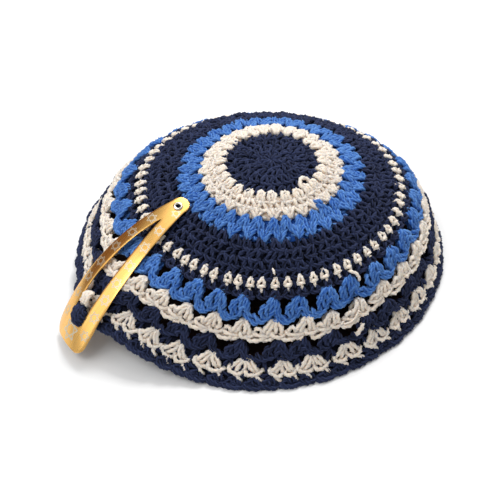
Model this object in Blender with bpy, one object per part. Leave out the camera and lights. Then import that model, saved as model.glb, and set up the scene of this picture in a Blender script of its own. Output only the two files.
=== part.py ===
"""A crocheted kippah skullcap with a snap clip on its edge, one object for each yarn band and clip piece.

Metres, +Z up. The cap lies on its rim at z = 0, its crown up, and is seen from -Y. The clip grips the
edge on the left of the front, where it draws the knit out and lifts it a little off the table.
"""

import math
from typing import NamedTuple

import bmesh
import bpy
import numpy as np
from mathutils import Vector

MM = 0.001

# The cap
RIM_RADIUS = 68.2 * MM
CROWN_HEIGHT = 44.2 * MM
WALL = 3.2 * MM
RELIEF = 0.35 * MM  # how far the middle of a round stands above its edges, and they sink as much
BAND_GAP = 0.3 * MM
CLUSTERS = 33  # stitch clusters in each open round
GAP_SHARE = 0.42  # of a cluster's pitch that its gap takes
GAP_FROM, GAP_TO = 0.26, 0.66  # where the gap starts and ends down its round, as shares of the round

# How the soft dome has settled. Sideways amounts are shares of RIM_RADIUS, upright ones of CROWN_HEIGHT.
LEAN = (-0.062, -0.006)  # the rim's shift under the crown, along X and Y
LEAN_FROM = 0.82  # the height where the lean starts
RIM_OVAL = ((2, 0.0073, 0.0073), (3, 0.0, 0.0125))  # waves round the cap, their cosine and sine parts
SHOULDER_FROM = 0.905
SHOULDER_OUT = ((1, 0.0044, 0.038), (2, 0.003, -0.0208))
SHOULDER_UP = ((1, 0.050, 0.032), (2, 0.041, -0.0113))

# The clip
CLIP_LENGTH = 66.6 * MM
CLIP_BEND = 73.5 * MM  # the radius that its sheet is bowed to
CLIP_CROWN = 30.0 * MM  # the radius of its curve from side to side
SHEET = 0.5 * MM
LEG_WIDTH = 4.4 * MM  # at the tip
LEG_WIDENS = 2.0 * MM  # by so much, mostly near the wide end
LEG_SPREAD = 6.9 * MM  # from the clip's middle line to a leg's, at the wide end
LEG_BOW = 1.1 * MM
TIP_ROUND = 3.2 * MM
CORNER_ROUND = 5.0 * MM
PLATE_LENGTH = 8.5 * MM  # the wide end, up to the notch where the legs part
EYELET_FROM_TIP = 4.2 * MM
EYELET_BORE = 1.5 * MM  # diameters, as are the next two
EYELET_TUBE = 2.1 * MM
EYELET_FLANGE = 3.4 * MM
EYELET_PLAY = 0.3 * MM
EYELET_BRIM = 0.3 * MM
NOTCH_AZIMUTH = math.radians(-150.4)  # the place on the rim that its notch grips
NOTCH_OUT = 0.93 * MM  # from the rim's edge to the notch, outwards, and the next one upwards
NOTCH_UP = 0.55 * MM
EYELET_STANDS = 2.2 * MM  # above the knit
CLIP_HEADING = math.radians(-139.8)
CLIP_ROLL = math.radians(14.5)
CLIP_TWIST = math.radians(-29.1)
FORK_GAP = 0.3 * MM  # from the middle line to a leg, where the legs start to part
FORK_SEARCH = 1.0 * MM
LEG_STEPS = 12
TONGUE_WIDTH = 4.4 * MM
TONGUE_TAPER = 1.0 * MM
TONGUE_ROOT_GAP = 0.7 * MM
TONGUE_OFF_WALL = 0.5 * MM
TONGUE_STATIONS = (0.78, 0.66, 0.54, 0.42, 0.30)  # places on the clip that it lies under, as shares of it

# The searches for the cap's point nearest to the clip (an azimuth and a share of the arc) and for its slope
SEARCH_FROM = (math.radians(-152), 0.7)
SEARCH_STEP = (math.radians(12), 0.2)
STEEPEST = math.radians(30)
SEARCH_ENDS_AT = 1e-5


class Band(NamedTuple):
    """One colour of yarn, from the band above it down to its own edge."""

    name: str
    reach: float  # its edge's radius, as a share of RIM_RADIUS
    height: float  # its edge's height, as a share of CROWN_HEIGHT
    rounds: int
    columns: int  # flats round the cap
    yarn: str
    cluster_at: float | None = None  # the azimuth of one cluster, in degrees, where the band is open


BANDS = (
    Band("centre_rounds", 0.249, 0.971, 4, 36, "navy"),
    Band("cream_rounds", 0.375, 0.891, 2, 48, "cream"),
    Band("blue_rounds", 0.490, 0.824, 2, 48, "blue"),
    Band("navy_band", 0.664, 0.681, 3, 60, "navy"),
    Band("dotted_round", 0.704, 0.645, 1, 66, "navy"),
    Band("navy_round", 0.738, 0.600, 1, 66, "navy"),
    Band("blue_clusters", 0.814, 0.452, 1, 66, "blue", -89.2),
    Band("cream_clusters", 0.872, 0.326, 1, 66, "cream", -88.0),
    Band("navy_clusters", 0.912, 0.208, 1, 66, "navy", -87.8),
    Band("outer_cream_round", 0.959, 0.090, 1, 66, "cream"),
    Band("rim_rounds", 1.0, 0.0, 2, 72, "navy"),
)

COLOURS = {
    "navy": (0.016, 0.020, 0.052),
    "cream": (0.80, 0.71, 0.58),
    "blue": (0.055, 0.17, 0.53),
    "gold": (0.82, 0.53, 0.16),
    "brass": (0.75, 0.60, 0.30),
}


class Swell(NamedTuple):
    """A place round the cap where the knit is moved, fading to nothing half_width away."""

    azimuth: float
    half_width: float
    out: float  # shares of RIM_RADIUS, RIM_RADIUS and CROWN_HEIGHT
    forward: float
    up: float
    full_from: float  # the share of the lean at which it has its full size

    def amount(self, azimuth: float, slump: float) -> float:
        away = (math.degrees(azimuth) - self.azimuth + 180) % 360 - 180
        if abs(away) >= self.half_width:
            return 0.0
        ramp = min(slump / self.full_from, 1)
        return math.cos(away / self.half_width * math.pi / 2) ** 2 * ramp * ramp * (3 - 2 * ramp)


SWELLS = (
    Swell(-153, 17, 0.062, 0.0, 0.0, 1.0),  # drawn out between the clip's legs
    Swell(-133, 36, 0.0, 0.0, 0.052, 1.0),  # the edge beside the clip, off the table
    Swell(-150, 50, 0.0, 0.138, 0.203, 0.6),  # the knit that follows the clip's bow
)


def slopes(at, values):
    """Tangents that keep a cubic through the values from overshooting."""
    step = np.diff(at)
    rise = np.diff(values) / step
    out = np.zeros(len(at))
    out[0], out[-1] = rise[0], rise[-1]
    before, after = step[:-1] + 2 * step[1:], 2 * step[:-1] + step[1:]
    same = rise[:-1] * rise[1:] > 0
    safe = np.where(same, rise[:-1], 1), np.where(same, rise[1:], 1)
    out[1:-1] = np.where(same, (before + after) / (before / safe[0] + after / safe[1]), 0)
    return out


class Profile:
    """The dome's outline from the crown to the rim, read by its share of the arc."""

    def __init__(self):
        self.radii = np.array([0.0] + [band.reach for band in BANDS]) * RIM_RADIUS
        self.heights = np.array([1.0] + [band.height for band in BANDS]) * CROWN_HEIGHT
        chords = np.hypot(np.diff(self.radii), np.diff(self.heights))
        self.arcs = np.concatenate([[0.0], np.cumsum(chords)])
        self.length = self.arcs[-1]
        self.edges = self.arcs / self.length
        self.radius_slopes = slopes(self.arcs, self.radii)
        self.height_slopes = slopes(self.arcs, self.heights)

    def read(self, values, tangents, arc):
        i = int(np.clip(np.searchsorted(self.arcs, arc) - 1, 0, len(self.arcs) - 2))
        span = self.arcs[i + 1] - self.arcs[i]
        t = (arc - self.arcs[i]) / span
        start, end = (1 + 2 * t) * (1 - t) ** 2, t * t * (3 - 2 * t)
        return float(
            start * values[i] + end * values[i + 1]
            + t * (1 - t) ** 2 * span * tangents[i] + t * t * (t - 1) * span * tangents[i + 1]
        )

    def point(self, share):
        arc = min(max(share, 0.0), 1.0) * self.length
        return (
            self.read(self.radii, self.radius_slopes, arc),
            self.read(self.heights, self.height_slopes, arc),
        )

    def normal(self, share):
        """The outward and upward parts of the wall's direction."""
        near = 0.004
        r0, z0 = self.point(max(share - near, 0.0))
        r1, z1 = self.point(min(share + near, 1.0))
        size = math.hypot(r1 - r0, z1 - z0)
        return (z0 - z1) / size, (r1 - r0) / size


PROFILE = Profile()


def waves(terms, azimuth):
    return sum(c * math.cos(n * azimuth) + s * math.sin(n * azimuth) for n, c, s in terms)


def cap_point(azimuth, share, depth=0.0):
    """A point of the wall: its azimuth, its share of the arc, and its depth under the yarn's surface."""
    radius, height = PROFILE.point(share)
    outward, upward = PROFILE.normal(share)
    slump = min(max(1 - height / (LEAN_FROM * CROWN_HEIGHT), 0), 1)
    shoulder = math.sin(math.pi * min(max(1 - height / (SHOULDER_FROM * CROWN_HEIGHT), 0), 1))
    radius -= depth * outward
    height = max(height - depth * upward, 0.0)
    radius += RIM_RADIUS * (slump * waves(RIM_OVAL, azimuth) + shoulder * waves(SHOULDER_OUT, azimuth))
    height += CROWN_HEIGHT * shoulder * waves(SHOULDER_UP, azimuth)
    forward = 0.0
    for swell in SWELLS:
        amount = swell.amount(azimuth, slump)
        radius += RIM_RADIUS * swell.out * amount
        forward += RIM_RADIUS * swell.forward * amount
        height += CROWN_HEIGHT * swell.up * amount
    return Vector((
        radius * math.cos(azimuth) + LEAN[0] * RIM_RADIUS * slump,
        radius * math.sin(azimuth) + LEAN[1] * RIM_RADIUS * slump - forward,
        height,
    ))


def material(name, colour, roughness, metallic=0.0):
    made = bpy.data.materials.new(name)
    made.use_nodes = True
    shader = made.node_tree.nodes["Principled BSDF"]
    shader.inputs["Base Color"].default_value = (*COLOURS[colour], 1)
    shader.inputs["Roughness"].default_value = roughness
    shader.inputs["Metallic"].default_value = metallic
    made.diffuse_color = (*COLOURS[colour], 1)
    return made


def add_object(name, bm, surface, origin=None):
    """Makes a bmesh into a named object with its faces turned outward and its origin where given."""
    origin = origin or Vector()
    bmesh.ops.recalc_face_normals(bm, faces=bm.faces)
    bmesh.ops.translate(bm, verts=bm.verts, vec=-origin)
    mesh = bpy.data.meshes.new(name)
    bm.to_mesh(mesh)
    bm.free()
    mesh.materials.append(surface)
    mesh.shade_smooth()
    mesh.set_sharp_from_angle(angle=math.radians(40))
    made = bpy.data.objects.new(name, mesh)
    made.location = origin
    bpy.context.scene.collection.objects.link(made)
    return made


def band_limits(index):
    """The shares of the arc between which a band's wall runs, half a gap inside its neighbours."""
    half = BAND_GAP / 2 / PROFILE.length
    start = PROFILE.edges[index] + (half if index else 0)
    end = PROFILE.edges[index + 1] - (half if index + 1 < len(BANDS) else 0)
    return start, end


def round_rows(start, end, rounds):
    """The outer surface of the rounds, as (share, depth): sunk at each edge and full in each middle."""
    steps = 2 * rounds
    return [
        (start + (end - start) * i / steps, RELIEF if i % 2 == 0 else -RELIEF) for i in range(steps + 1)
    ]


def add_plain_band(index, surface):
    """A ring of closed rounds, or the disc in the middle of the crown."""
    band = BANDS[index]
    start, end = band_limits(index)
    outer = round_rows(start, end, band.rounds)
    inner_steps = max(1, band.rounds // 2)
    inner = [(end - (end - start) * i / inner_steps, WALL) for i in range(inner_steps + 1)]
    bm = bmesh.new()
    angles = [2 * math.pi * i / band.columns for i in range(band.columns)]
    if index:
        loop = outer + inner
        rings = [[bm.verts.new(cap_point(a, *row)) for a in angles] for row in loop]
        pairs = zip(rings, rings[1:] + rings[:1])
    else:
        loop = outer[1:] + inner[:-1]
        rings = [[bm.verts.new(cap_point(a, *row)) for a in angles] for row in loop]
        for ring, depth in ((rings[0], 0.0), (rings[-1], WALL)):
            pole = bm.verts.new(cap_point(0.0, 0.0, depth))
            for a, b in zip(ring, ring[1:] + ring[:1]):
                bm.faces.new((pole, a, b))
        pairs = zip(rings, rings[1:])
    for upper, lower in pairs:
        for i in range(band.columns):
            j = (i + 1) % band.columns
            bm.faces.new((upper[i], upper[j], lower[j], lower[i]))
    return add_object(band.name, bm, surface)


def add_pierced(name, outer, inner, is_hole, wraps, surface):
    """A wall of cells with some cut through. outer and inner are matching grids of points, row by row."""
    bm = bmesh.new()
    skins = [[[bm.verts.new(p) for p in row] for row in grid] for grid in (outer, inner)]
    rows, columns = len(outer) - 1, len(outer[0]) - (0 if wraps else 1)

    def solid(i, j):
        if wraps:
            j %= columns
        return 0 <= i < rows and 0 <= j < columns and not is_hole(i, j)

    for i in range(rows):
        for j in range(columns):
            if not solid(i, j):
                continue
            k = (j + 1) % len(outer[0])
            corners = ((i, j), (i, k), (i + 1, k), (i + 1, j))
            for skin in skins:
                bm.faces.new([skin[a][b] for a, b in corners])
            beyond = ((i - 1, j), (i, j + 1), (i + 1, j), (i, j - 1))
            for n, cell in enumerate(beyond):
                if not solid(*cell):
                    (a, b), (c, d) = corners[n], corners[(n + 1) % 4]
                    bm.faces.new((skins[0][a][b], skins[0][c][d], skins[1][c][d], skins[1][a][b]))
    loose = [v for v in bm.verts if not v.link_faces]
    bmesh.ops.delete(bm, geom=loose, context="VERTS")
    return add_object(name, bm, surface)


def add_open_band(index, surface):
    """A round of clusters with a gap cut through beside each one: a post and a gap to each pitch."""
    band = BANDS[index]
    start, end = band_limits(index)
    rows = [
        (start, RELIEF),
        (start + GAP_FROM * (end - start), -RELIEF),
        (start + GAP_TO * (end - start), -RELIEF),
        (end, RELIEF),
    ]
    pitch = 2 * math.pi / CLUSTERS
    first = math.radians(band.cluster_at) + pitch / 2
    angles = []
    for i in range(CLUSTERS):
        middle = first + i * pitch
        angles += [middle - GAP_SHARE * pitch / 2, middle + GAP_SHARE * pitch / 2]
    outer = [[cap_point(a, share, depth) for a in angles] for share, depth in rows]
    inner = [[cap_point(a, share, WALL) for a in angles] for share, _ in rows]
    return add_pierced(band.name, outer, inner, lambda i, j: i == 1 and j % 2 == 0, True, surface)


def nearest_on_cap(place):
    """The azimuth and the share of the arc of the cap's surface nearest to a point."""
    azimuth, share = SEARCH_FROM
    step_azimuth, step_share = SEARCH_STEP
    moves = [(i, j) for i in (-1, 0, 1) for j in (-1, 0, 1)]
    while step_share > SEARCH_ENDS_AT:
        trials = [(azimuth + i * step_azimuth, min(share + j * step_share, 1.0)) for i, j in moves]
        best = min(trials, key=lambda trial: (cap_point(*trial) - place).length)
        if best == (azimuth, share):
            step_azimuth, step_share = step_azimuth / 2, step_share / 2
        azimuth, share = best
    return azimuth, share


class ClipSheet:
    """The clip's bowed and slightly twisted sheet: its notch is at the rim, its eyelet just off the knit."""

    def __init__(self):
        outward = Vector((math.cos(NOTCH_AZIMUTH), math.sin(NOTCH_AZIMUTH), 0))
        rim = cap_point(NOTCH_AZIMUTH, 1.0)
        self.notch = rim + NOTCH_OUT * outward + Vector((0, 0, NOTCH_UP))
        self.side = Vector((math.sin(CLIP_HEADING), -math.cos(CLIP_HEADING), 0))
        low, high = -STEEPEST, STEEPEST
        while high - low > SEARCH_ENDS_AT:
            self.slope_down((low + high) / 2)
            if self.off_knit(EYELET_FROM_TIP) < EYELET_STANDS:
                low = (low + high) / 2
            else:
                high = (low + high) / 2

    def slope_down(self, slope):
        """Turns the sheet about its notch, until it leaves its tip at this slope."""
        heading = Vector((math.cos(CLIP_HEADING), math.sin(CLIP_HEADING), 0))
        self.forward = heading * math.cos(slope) - Vector((0, 0, math.sin(slope)))
        self.up = self.side.cross(self.forward)
        if self.up.z < 0:
            self.up.negate()
        self.tip = Vector()
        self.tip = self.notch - self.axes(NOTCH_AT)[0]

    def off_knit(self, along):
        """How far the middle line is above the knit."""
        place = self.axes(along)[0]
        foot = cap_point(*nearest_on_cap(place))
        return math.copysign((place - foot).length, (place - foot).dot(self.up))

    def axes(self, along):
        """Where the middle line is, its side and its up, at a distance from the tip."""
        bend = along / CLIP_BEND
        place = self.tip + CLIP_BEND * (math.sin(bend) * self.forward - (1 - math.cos(bend)) * self.up)
        up = math.cos(bend) * self.up + math.sin(bend) * self.forward
        turn = CLIP_ROLL + CLIP_TWIST * along / CLIP_LENGTH
        side = math.cos(turn) * self.side + math.sin(turn) * up
        return place, side, math.cos(turn) * up - math.sin(turn) * self.side

    def point(self, along, across, lift):
        place, side, up = self.axes(along)
        turn = across / CLIP_CROWN
        radius = CLIP_CROWN + lift
        return place + radius * math.sin(turn) * side + (radius * math.cos(turn) - CLIP_CROWN) * up


NOTCH_AT = CLIP_LENGTH - PLATE_LENGTH
CLIP = ClipSheet()


def down_legs(along):
    """How far down the legs a place is, from 0 at the eyelet to 1 at the notch."""
    return min(max((along - EYELET_FROM_TIP) / (NOTCH_AT - EYELET_FROM_TIP), 0), 1)


def leg_offset(along):
    """From the clip's middle line to a leg's."""
    t = down_legs(along)
    start = TIP_ROUND - LEG_WIDTH / 2
    return start + (LEG_SPREAD - start) * t + LEG_BOW * math.sin(math.pi * t)


def leg_half(along):
    """Half of a leg's width."""
    return (LEG_WIDTH + LEG_WIDENS * down_legs(along) ** 3) / 2


def leg_gap(along):
    """From the middle line to a leg's inner edge."""
    return leg_offset(along) - leg_half(along)


def outline_half(along):
    """Half of the clip's width, with its round tip and the round corners of its wide end."""
    if along < TIP_ROUND:
        return math.sqrt(max(TIP_ROUND**2 - (TIP_ROUND - along) ** 2, 0.0))
    half = leg_offset(along) + leg_half(along)
    left = CLIP_LENGTH - along
    if left < CORNER_ROUND:
        half -= CORNER_ROUND - math.sqrt(max(CORNER_ROUND**2 - (CORNER_ROUND - left) ** 2, 0.0))
    return half


def add_clip_frame(surface):
    """The stamped frame: tip plate, two legs and the wide end."""
    steps = range(int(CLIP_LENGTH / FORK_SEARCH))
    fork_at = next(i * FORK_SEARCH for i in steps if leg_gap(i * FORK_SEARCH) > FORK_GAP)
    tip_rows = [TIP_ROUND * (1 - math.cos(math.pi / 2 * (i + 0.5) / 3.5)) for i in range(4)]
    leg_rows = [fork_at + (NOTCH_AT - fork_at) * i / LEG_STEPS for i in range(LEG_STEPS + 1)]
    end_rows = [CLIP_LENGTH - CORNER_ROUND * (1 - math.sin(math.pi / 2 * i / 3.2)) for i in range(4)]
    rows = tip_rows + leg_rows + end_rows
    first_leg, last_leg = len(tip_rows), len(tip_rows) + len(leg_rows) - 1

    def crossings(along):
        half = outline_half(along)
        inner = leg_gap(along) if fork_at <= along <= NOTCH_AT else half / 2
        return (-half, -inner, inner, half)

    grids = [
        [[CLIP.point(a, c, lift) for c in crossings(a)] for a in rows] for lift in (SHEET / 2, -SHEET / 2)
    ]
    frame = add_pierced(
        "clip_frame", *grids, lambda i, j: j == 1 and first_leg <= i < last_leg, False, surface
    )
    place, _, up = CLIP.axes(EYELET_FROM_TIP)
    hole = EYELET_TUBE / 2 + EYELET_PLAY
    cutter = add_turned("eyelet_cutter", place, up, [(hole, 2 * SHEET), (hole, -2 * SHEET)], surface)
    cutter.hide_render = True
    cutter.display_type = "WIRE"
    cut = frame.modifiers.new("eyelet_hole", "BOOLEAN")
    cut.operation = "DIFFERENCE"
    cut.object = cutter
    return frame


def add_turned(name, place, up, outline, surface, sides=16):
    """A piece turned about an axis, from a closed outline, or from a single line that is capped."""
    across = up.orthogonal().normalized()
    beside = up.cross(across)
    bm = bmesh.new()
    rings = [
        [
            bm.verts.new(place + h * up + r * (math.cos(a) * across + math.sin(a) * beside))
            for a in (2 * math.pi * i / sides for i in range(sides))
        ]
        for r, h in outline
    ]
    hollow = len(outline) > 2
    pairs = list(zip(rings, rings[1:] + rings[:1])) if hollow else [tuple(rings)]
    for first, second in pairs:
        for i in range(sides):
            j = (i + 1) % sides
            bm.faces.new((first[i], first[j], second[j], second[i]))
    if not hollow:
        for ring in rings:
            bm.faces.new(ring)
    return add_object(name, bm, surface)


def add_eyelet(surface):
    """The hollow rivet that joins the two legs at the tip."""
    place, _, up = CLIP.axes(EYELET_FROM_TIP)
    bore, tube, flange = EYELET_BORE / 2, EYELET_TUBE / 2, EYELET_FLANGE / 2
    under = SHEET / 2 + EYELET_PLAY
    brim = under + EYELET_BRIM
    outline = [
        (bore, brim), ((bore + 3 * flange) / 4, brim), (flange, (brim + under) / 2), (flange, under),
        (tube, under), (tube, -under), (flange, -under), (flange, -brim), (bore, -brim),
    ]
    return add_turned("clip_eyelet", place, up, outline, surface)


def tongue_route():
    """The tongue's middle line, from the notch, in under the rim and up inside the wall."""
    root, side, _ = CLIP.axes(NOTCH_AT - TONGUE_ROOT_GAP)
    under = WALL + TONGUE_OFF_WALL + SHEET / 2
    azimuth, _ = nearest_on_cap(root)
    below_rim = cap_point(azimuth, 1.0, WALL / 2) - Vector((0, 0, TONGUE_OFF_WALL + SHEET))
    route = [root, below_rim]
    for along_share in TONGUE_STATIONS:
        azimuth, share = nearest_on_cap(CLIP.axes(CLIP_LENGTH * along_share)[0])
        route.append(cap_point(azimuth, share, under))
    return route, side


def through(points, steps):
    """A smooth line through the points, with a number of steps between each two."""
    ends = [2 * points[0] - points[1], *points, 2 * points[-1] - points[-2]]
    line = []
    for a, b, c, d in zip(ends, ends[1:], ends[2:], ends[3:]):
        for i in range(steps):
            t = i / steps
            line.append(0.5 * (2 * b + (c - a) * t + (2 * a - 5 * b + 4 * c - d) * t**2
                               + (3 * b - a - 3 * c + d) * t**3))
    return line + [points[-1]]


def add_clip_tongue(surface):
    """The tongue that presses the knit against the legs from inside the cap."""
    route, side = tongue_route()
    line = through(route, 3)
    length = sum((b - a).length for a, b in zip(line, line[1:]))
    bm = bmesh.new()
    rings, run = [], 0.0
    for i, place in enumerate(line):
        ahead = (line[min(i + 1, len(line) - 1)] - line[max(i - 1, 0)]).normalized()
        run += (place - line[i - 1]).length if i else 0.0
        left = length - run
        half = (TONGUE_WIDTH - TONGUE_TAPER * run / length) / 2
        if left < half:
            half = max(math.sqrt(half**2 - (half - left) ** 2), 0.3 * half)
        across = (side - side.dot(ahead) * ahead).normalized() * half
        lift = across.normalized().cross(ahead) * SHEET / 2
        rings.append([bm.verts.new(place + a * across + b * lift)
                      for a, b in ((-1, -1), (1, -1), (1, 1), (-1, 1))])
    for first, second in zip(rings, rings[1:]):
        for i in range(4):
            j = (i + 1) % 4
            bm.faces.new((first[i], first[j], second[j], second[i]))
    bm.faces.new(rings[0])
    bm.faces.new(rings[-1])
    return add_object("clip_tongue", bm, surface, origin=CLIP.axes(NOTCH_AT)[0])


def stand_on_origin(pieces):
    """Hangs the pieces on one empty and puts the middle of their box's underside at the origin."""
    whole = bpy.data.objects.new("kippah", None)
    bpy.context.scene.collection.objects.link(whole)
    bpy.context.view_layer.update()
    corners = [piece.matrix_world @ Vector(corner) for piece in pieces for corner in piece.bound_box]
    low, high = ([pick(c[axis] for c in corners) for axis in range(3)] for pick in (min, max))
    for piece in bpy.data.objects:
        if piece is not whole:
            piece.parent = whole
    whole.location = (-(low[0] + high[0]) / 2, -(low[1] + high[1]) / 2, -low[2])


def main():
    for old in list(bpy.data.objects):
        bpy.data.objects.remove(old)
    yarns = {name: material(f"{name}_cotton", name, 0.9) for name in ("navy", "cream", "blue")}
    pieces = []
    for index, band in enumerate(BANDS):
        add = add_plain_band if band.cluster_at is None else add_open_band
        pieces.append(add(index, yarns[band.yarn]))
    gold = material("gold_plated_steel", "gold", 0.3, 1.0)
    pieces += [add_clip_frame(gold), add_clip_tongue(gold), add_eyelet(material("brass", "brass", 0.3, 1.0))]
    stand_on_origin(pieces)


if __name__ == "__main__":
    main()
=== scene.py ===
"""The looks of a crocheted kippah skullcap with a snap clip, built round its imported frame.

Every band of the cap is crocheted anew here, strand by strand, on the settled surface that the frame
has. A strand is a twisted yarn that follows the way it takes through its stitch. The clip is a bowed,
stamped and gold-plated steel sheet with silver hexagrams printed on it. Lengths are metres.
"""

import logging
import math
from dataclasses import dataclass
from enum import Enum

import bmesh
import bpy
import numpy as np
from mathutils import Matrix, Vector

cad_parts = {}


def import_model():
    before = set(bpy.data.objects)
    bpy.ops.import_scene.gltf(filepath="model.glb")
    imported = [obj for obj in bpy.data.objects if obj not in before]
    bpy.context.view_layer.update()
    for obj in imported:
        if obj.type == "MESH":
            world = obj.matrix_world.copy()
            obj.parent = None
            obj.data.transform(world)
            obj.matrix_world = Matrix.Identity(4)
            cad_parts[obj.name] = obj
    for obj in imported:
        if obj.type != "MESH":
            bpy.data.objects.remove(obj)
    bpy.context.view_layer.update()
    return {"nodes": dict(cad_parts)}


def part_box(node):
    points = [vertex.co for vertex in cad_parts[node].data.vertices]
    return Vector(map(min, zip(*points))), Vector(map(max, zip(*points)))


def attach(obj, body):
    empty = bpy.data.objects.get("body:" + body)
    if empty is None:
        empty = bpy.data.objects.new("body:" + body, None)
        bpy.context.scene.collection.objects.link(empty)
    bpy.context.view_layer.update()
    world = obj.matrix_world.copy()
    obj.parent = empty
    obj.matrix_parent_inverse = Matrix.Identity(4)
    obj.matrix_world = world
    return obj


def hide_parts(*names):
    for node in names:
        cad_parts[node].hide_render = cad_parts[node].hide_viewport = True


MM = 0.001
LOG = logging.getLogger("kippah")

# The settled dome, as in the frame. Sideways amounts are shares of RIM_RADIUS, upright ones of
# CROWN_HEIGHT. RIM_OVAL, SHOULDER_OUT and SHOULDER_UP are rows of a count of waves round the cap, a
# cosine part and a sine part.
RIM_RADIUS = 68.2 * MM
CROWN_HEIGHT = 44.2 * MM
EDGE_REACH = (0.0, 0.249, 0.375, 0.490, 0.664, 0.704, 0.738, 0.814, 0.872, 0.912, 0.959, 1.0)
EDGE_HEIGHT = (1.0, 0.971, 0.891, 0.824, 0.681, 0.645, 0.600, 0.452, 0.326, 0.208, 0.090, 0.0)
LEAN = (-0.062, -0.006)  # how far the rim lies to one side of the crown
LEAN_FROM = 0.82  # the height from which it does
RIM_OVAL = ((2, 0.0073, 0.0073), (3, 0.0, 0.0125))
SHOULDER_FROM = 0.905
SHOULDER_OUT = ((1, 0.0044, 0.038), (2, 0.003, -0.0208))
SHOULDER_UP = ((1, 0.050, 0.032), (2, 0.041, -0.0113))
# Where the clip draws the knit out: azimuth, half width, out, forward, up, and the lean where it is full
SWELLS = (
    (-153, 17, 0.062, 0.0, 0.0, 1.0),
    (-133, 36, 0.0, 0.0, 0.052, 1.0),
    (-150, 50, 0.0, 0.138, 0.203, 0.6),
)

YARN_WIDTH = 1.5 * MM
YARN_TWIST = 6.5 * MM  # one whole turn of the plies
RING_STEP = 0.85 * MM  # between the rings of a strand's mesh
WAY_STEPS = 6  # of a smooth line between two points of a strand
CLUSTERS = 33


class Tone(Enum):
    """The yarns' colours, by their place in a piece's list of materials."""

    NAVY = 0
    CREAM = 1
    BLUE = 2


@dataclass(frozen=True)
class Strand:
    """One visible length of yarn in a stitch.

    Args:
        way: points along it, as (pitches round the cap, shares of the round downwards, mm above the wall).
        gauge: its thickness against the yarn's.
    """

    way: tuple[tuple[float, float, float], ...]
    gauge: float = 1.0


# Single crochet: two legs that spread from where the hook went in, and the loop along its top edge
SINGLE = (
    Strand(((0.1, -0.12, -1.5), (-0.03, 0.02, -0.2), (-0.18, 0.34, 0.25), (-0.26, 0.66, 0.0),
            (-0.24, 0.92, -1.1))),
    Strand(((-0.08, -0.12, -1.5), (0.07, 0.0, -0.2), (0.22, 0.32, 0.25), (0.29, 0.64, 0.0),
            (0.27, 0.9, -1.1))),
    Strand(((-0.44, 0.64, -1.1), (-0.26, 0.84, 0.05), (0.04, 0.97, 0.35), (0.32, 0.9, 0.1),
            (0.52, 0.76, -1.0))),
    Strand(((-0.5, 0.2, -1.9), (-0.2, 0.45, -1.6), (0.15, 0.5, -1.6), (0.5, 0.2, -1.9)), 1.2),
)

# The arches of the cream round's inner edge, over the navy
ARCH = (
    Strand(((0.06, 0.02, -1.3), (-0.07, 0.0, 0.1), (-0.2, 0.16, 0.5), (-0.25, 0.44, 0.4),
            (-0.22, 0.74, 0.1), (-0.14, 0.98, -0.9)), 1.06),
    Strand(((-0.06, 0.02, -1.3), (0.08, 0.0, 0.1), (0.2, 0.16, 0.5), (0.25, 0.44, 0.4), (0.22, 0.74, 0.1),
            (0.14, 0.98, -0.9)), 1.06),
    Strand(((0.0, 0.04, -1.1), (0.01, 0.2, 0.2), (0.0, 0.56, 0.3), (-0.04, 0.96, -0.9))),
    Strand(((-0.46, 0.7, -1.0), (-0.28, 0.88, 0.0), (0.02, 0.98, 0.2), (0.32, 0.9, 0.0),
            (0.52, 0.74, -1.0))),
    Strand(((-0.5, 0.5, -1.8), (-0.2, 0.6, -1.6), (0.15, 0.6, -1.6), (0.5, 0.5, -1.8)), 1.2),
)

# The upper half of a close double crochet: strands that spread from a peak
PEAK = (
    Strand(((0.05, -0.06, -1.4), (-0.02, 0.02, 0.0), (-0.16, 0.26, 0.4), (-0.3, 0.6, 0.3),
            (-0.4, 0.92, -0.2), (-0.44, 1.04, -1.2))),
    Strand(((-0.05, -0.06, -1.4), (0.04, 0.0, 0.05), (0.18, 0.24, 0.45), (0.32, 0.58, 0.3),
            (0.42, 0.92, -0.2), (0.46, 1.04, -1.2))),
    Strand(((0.0, 0.1, -1.1), (-0.04, 0.3, 0.2), (-0.11, 0.62, 0.4), (-0.14, 0.92, 0.0),
            (-0.15, 1.05, -1.1))),
    Strand(((0.02, 0.12, -1.1), (0.06, 0.32, 0.1), (0.12, 0.62, 0.35), (0.16, 0.92, 0.0),
            (0.17, 1.05, -1.1))),
    Strand(((-0.5, 0.3, -1.8), (-0.2, 0.5, -1.6), (0.15, 0.5, -1.6), (0.5, 0.3, -1.8)), 1.2),
)

# Its lower half: the strands meet again in points that hang over the next colour
VEE = (
    Strand(((-0.52, -0.02, -1.0), (-0.42, 0.14, 0.0), (-0.28, 0.46, 0.35), (-0.11, 0.82, 0.35),
            (-0.02, 1.05, -0.2), (0.03, 1.12, -1.2))),
    Strand(((0.5, -0.02, -1.0), (0.43, 0.16, 0.0), (0.29, 0.46, 0.35), (0.13, 0.8, 0.3),
            (0.04, 1.02, -0.3), (-0.02, 1.1, -1.2))),
    Strand(((-0.2, -0.06, -1.1), (-0.15, 0.1, 0.1), (-0.07, 0.38, 0.4), (-0.01, 0.66, 0.2),
            (0.02, 0.84, -0.8))),
    Strand(((0.2, -0.06, -1.1), (0.17, 0.1, 0.0), (0.12, 0.34, 0.3), (0.08, 0.52, -0.2),
            (0.05, 0.64, -1.1))),
    Strand(((0.34, 0.72, -1.1), (0.42, 0.84, -0.3), (0.52, 0.9, -0.2), (0.62, 0.8, -1.1))),
    Strand(((-0.5, 0.5, -1.8), (-0.2, 0.6, -1.6), (0.15, 0.6, -1.6), (0.5, 0.5, -1.8)), 1.2),
)

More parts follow.
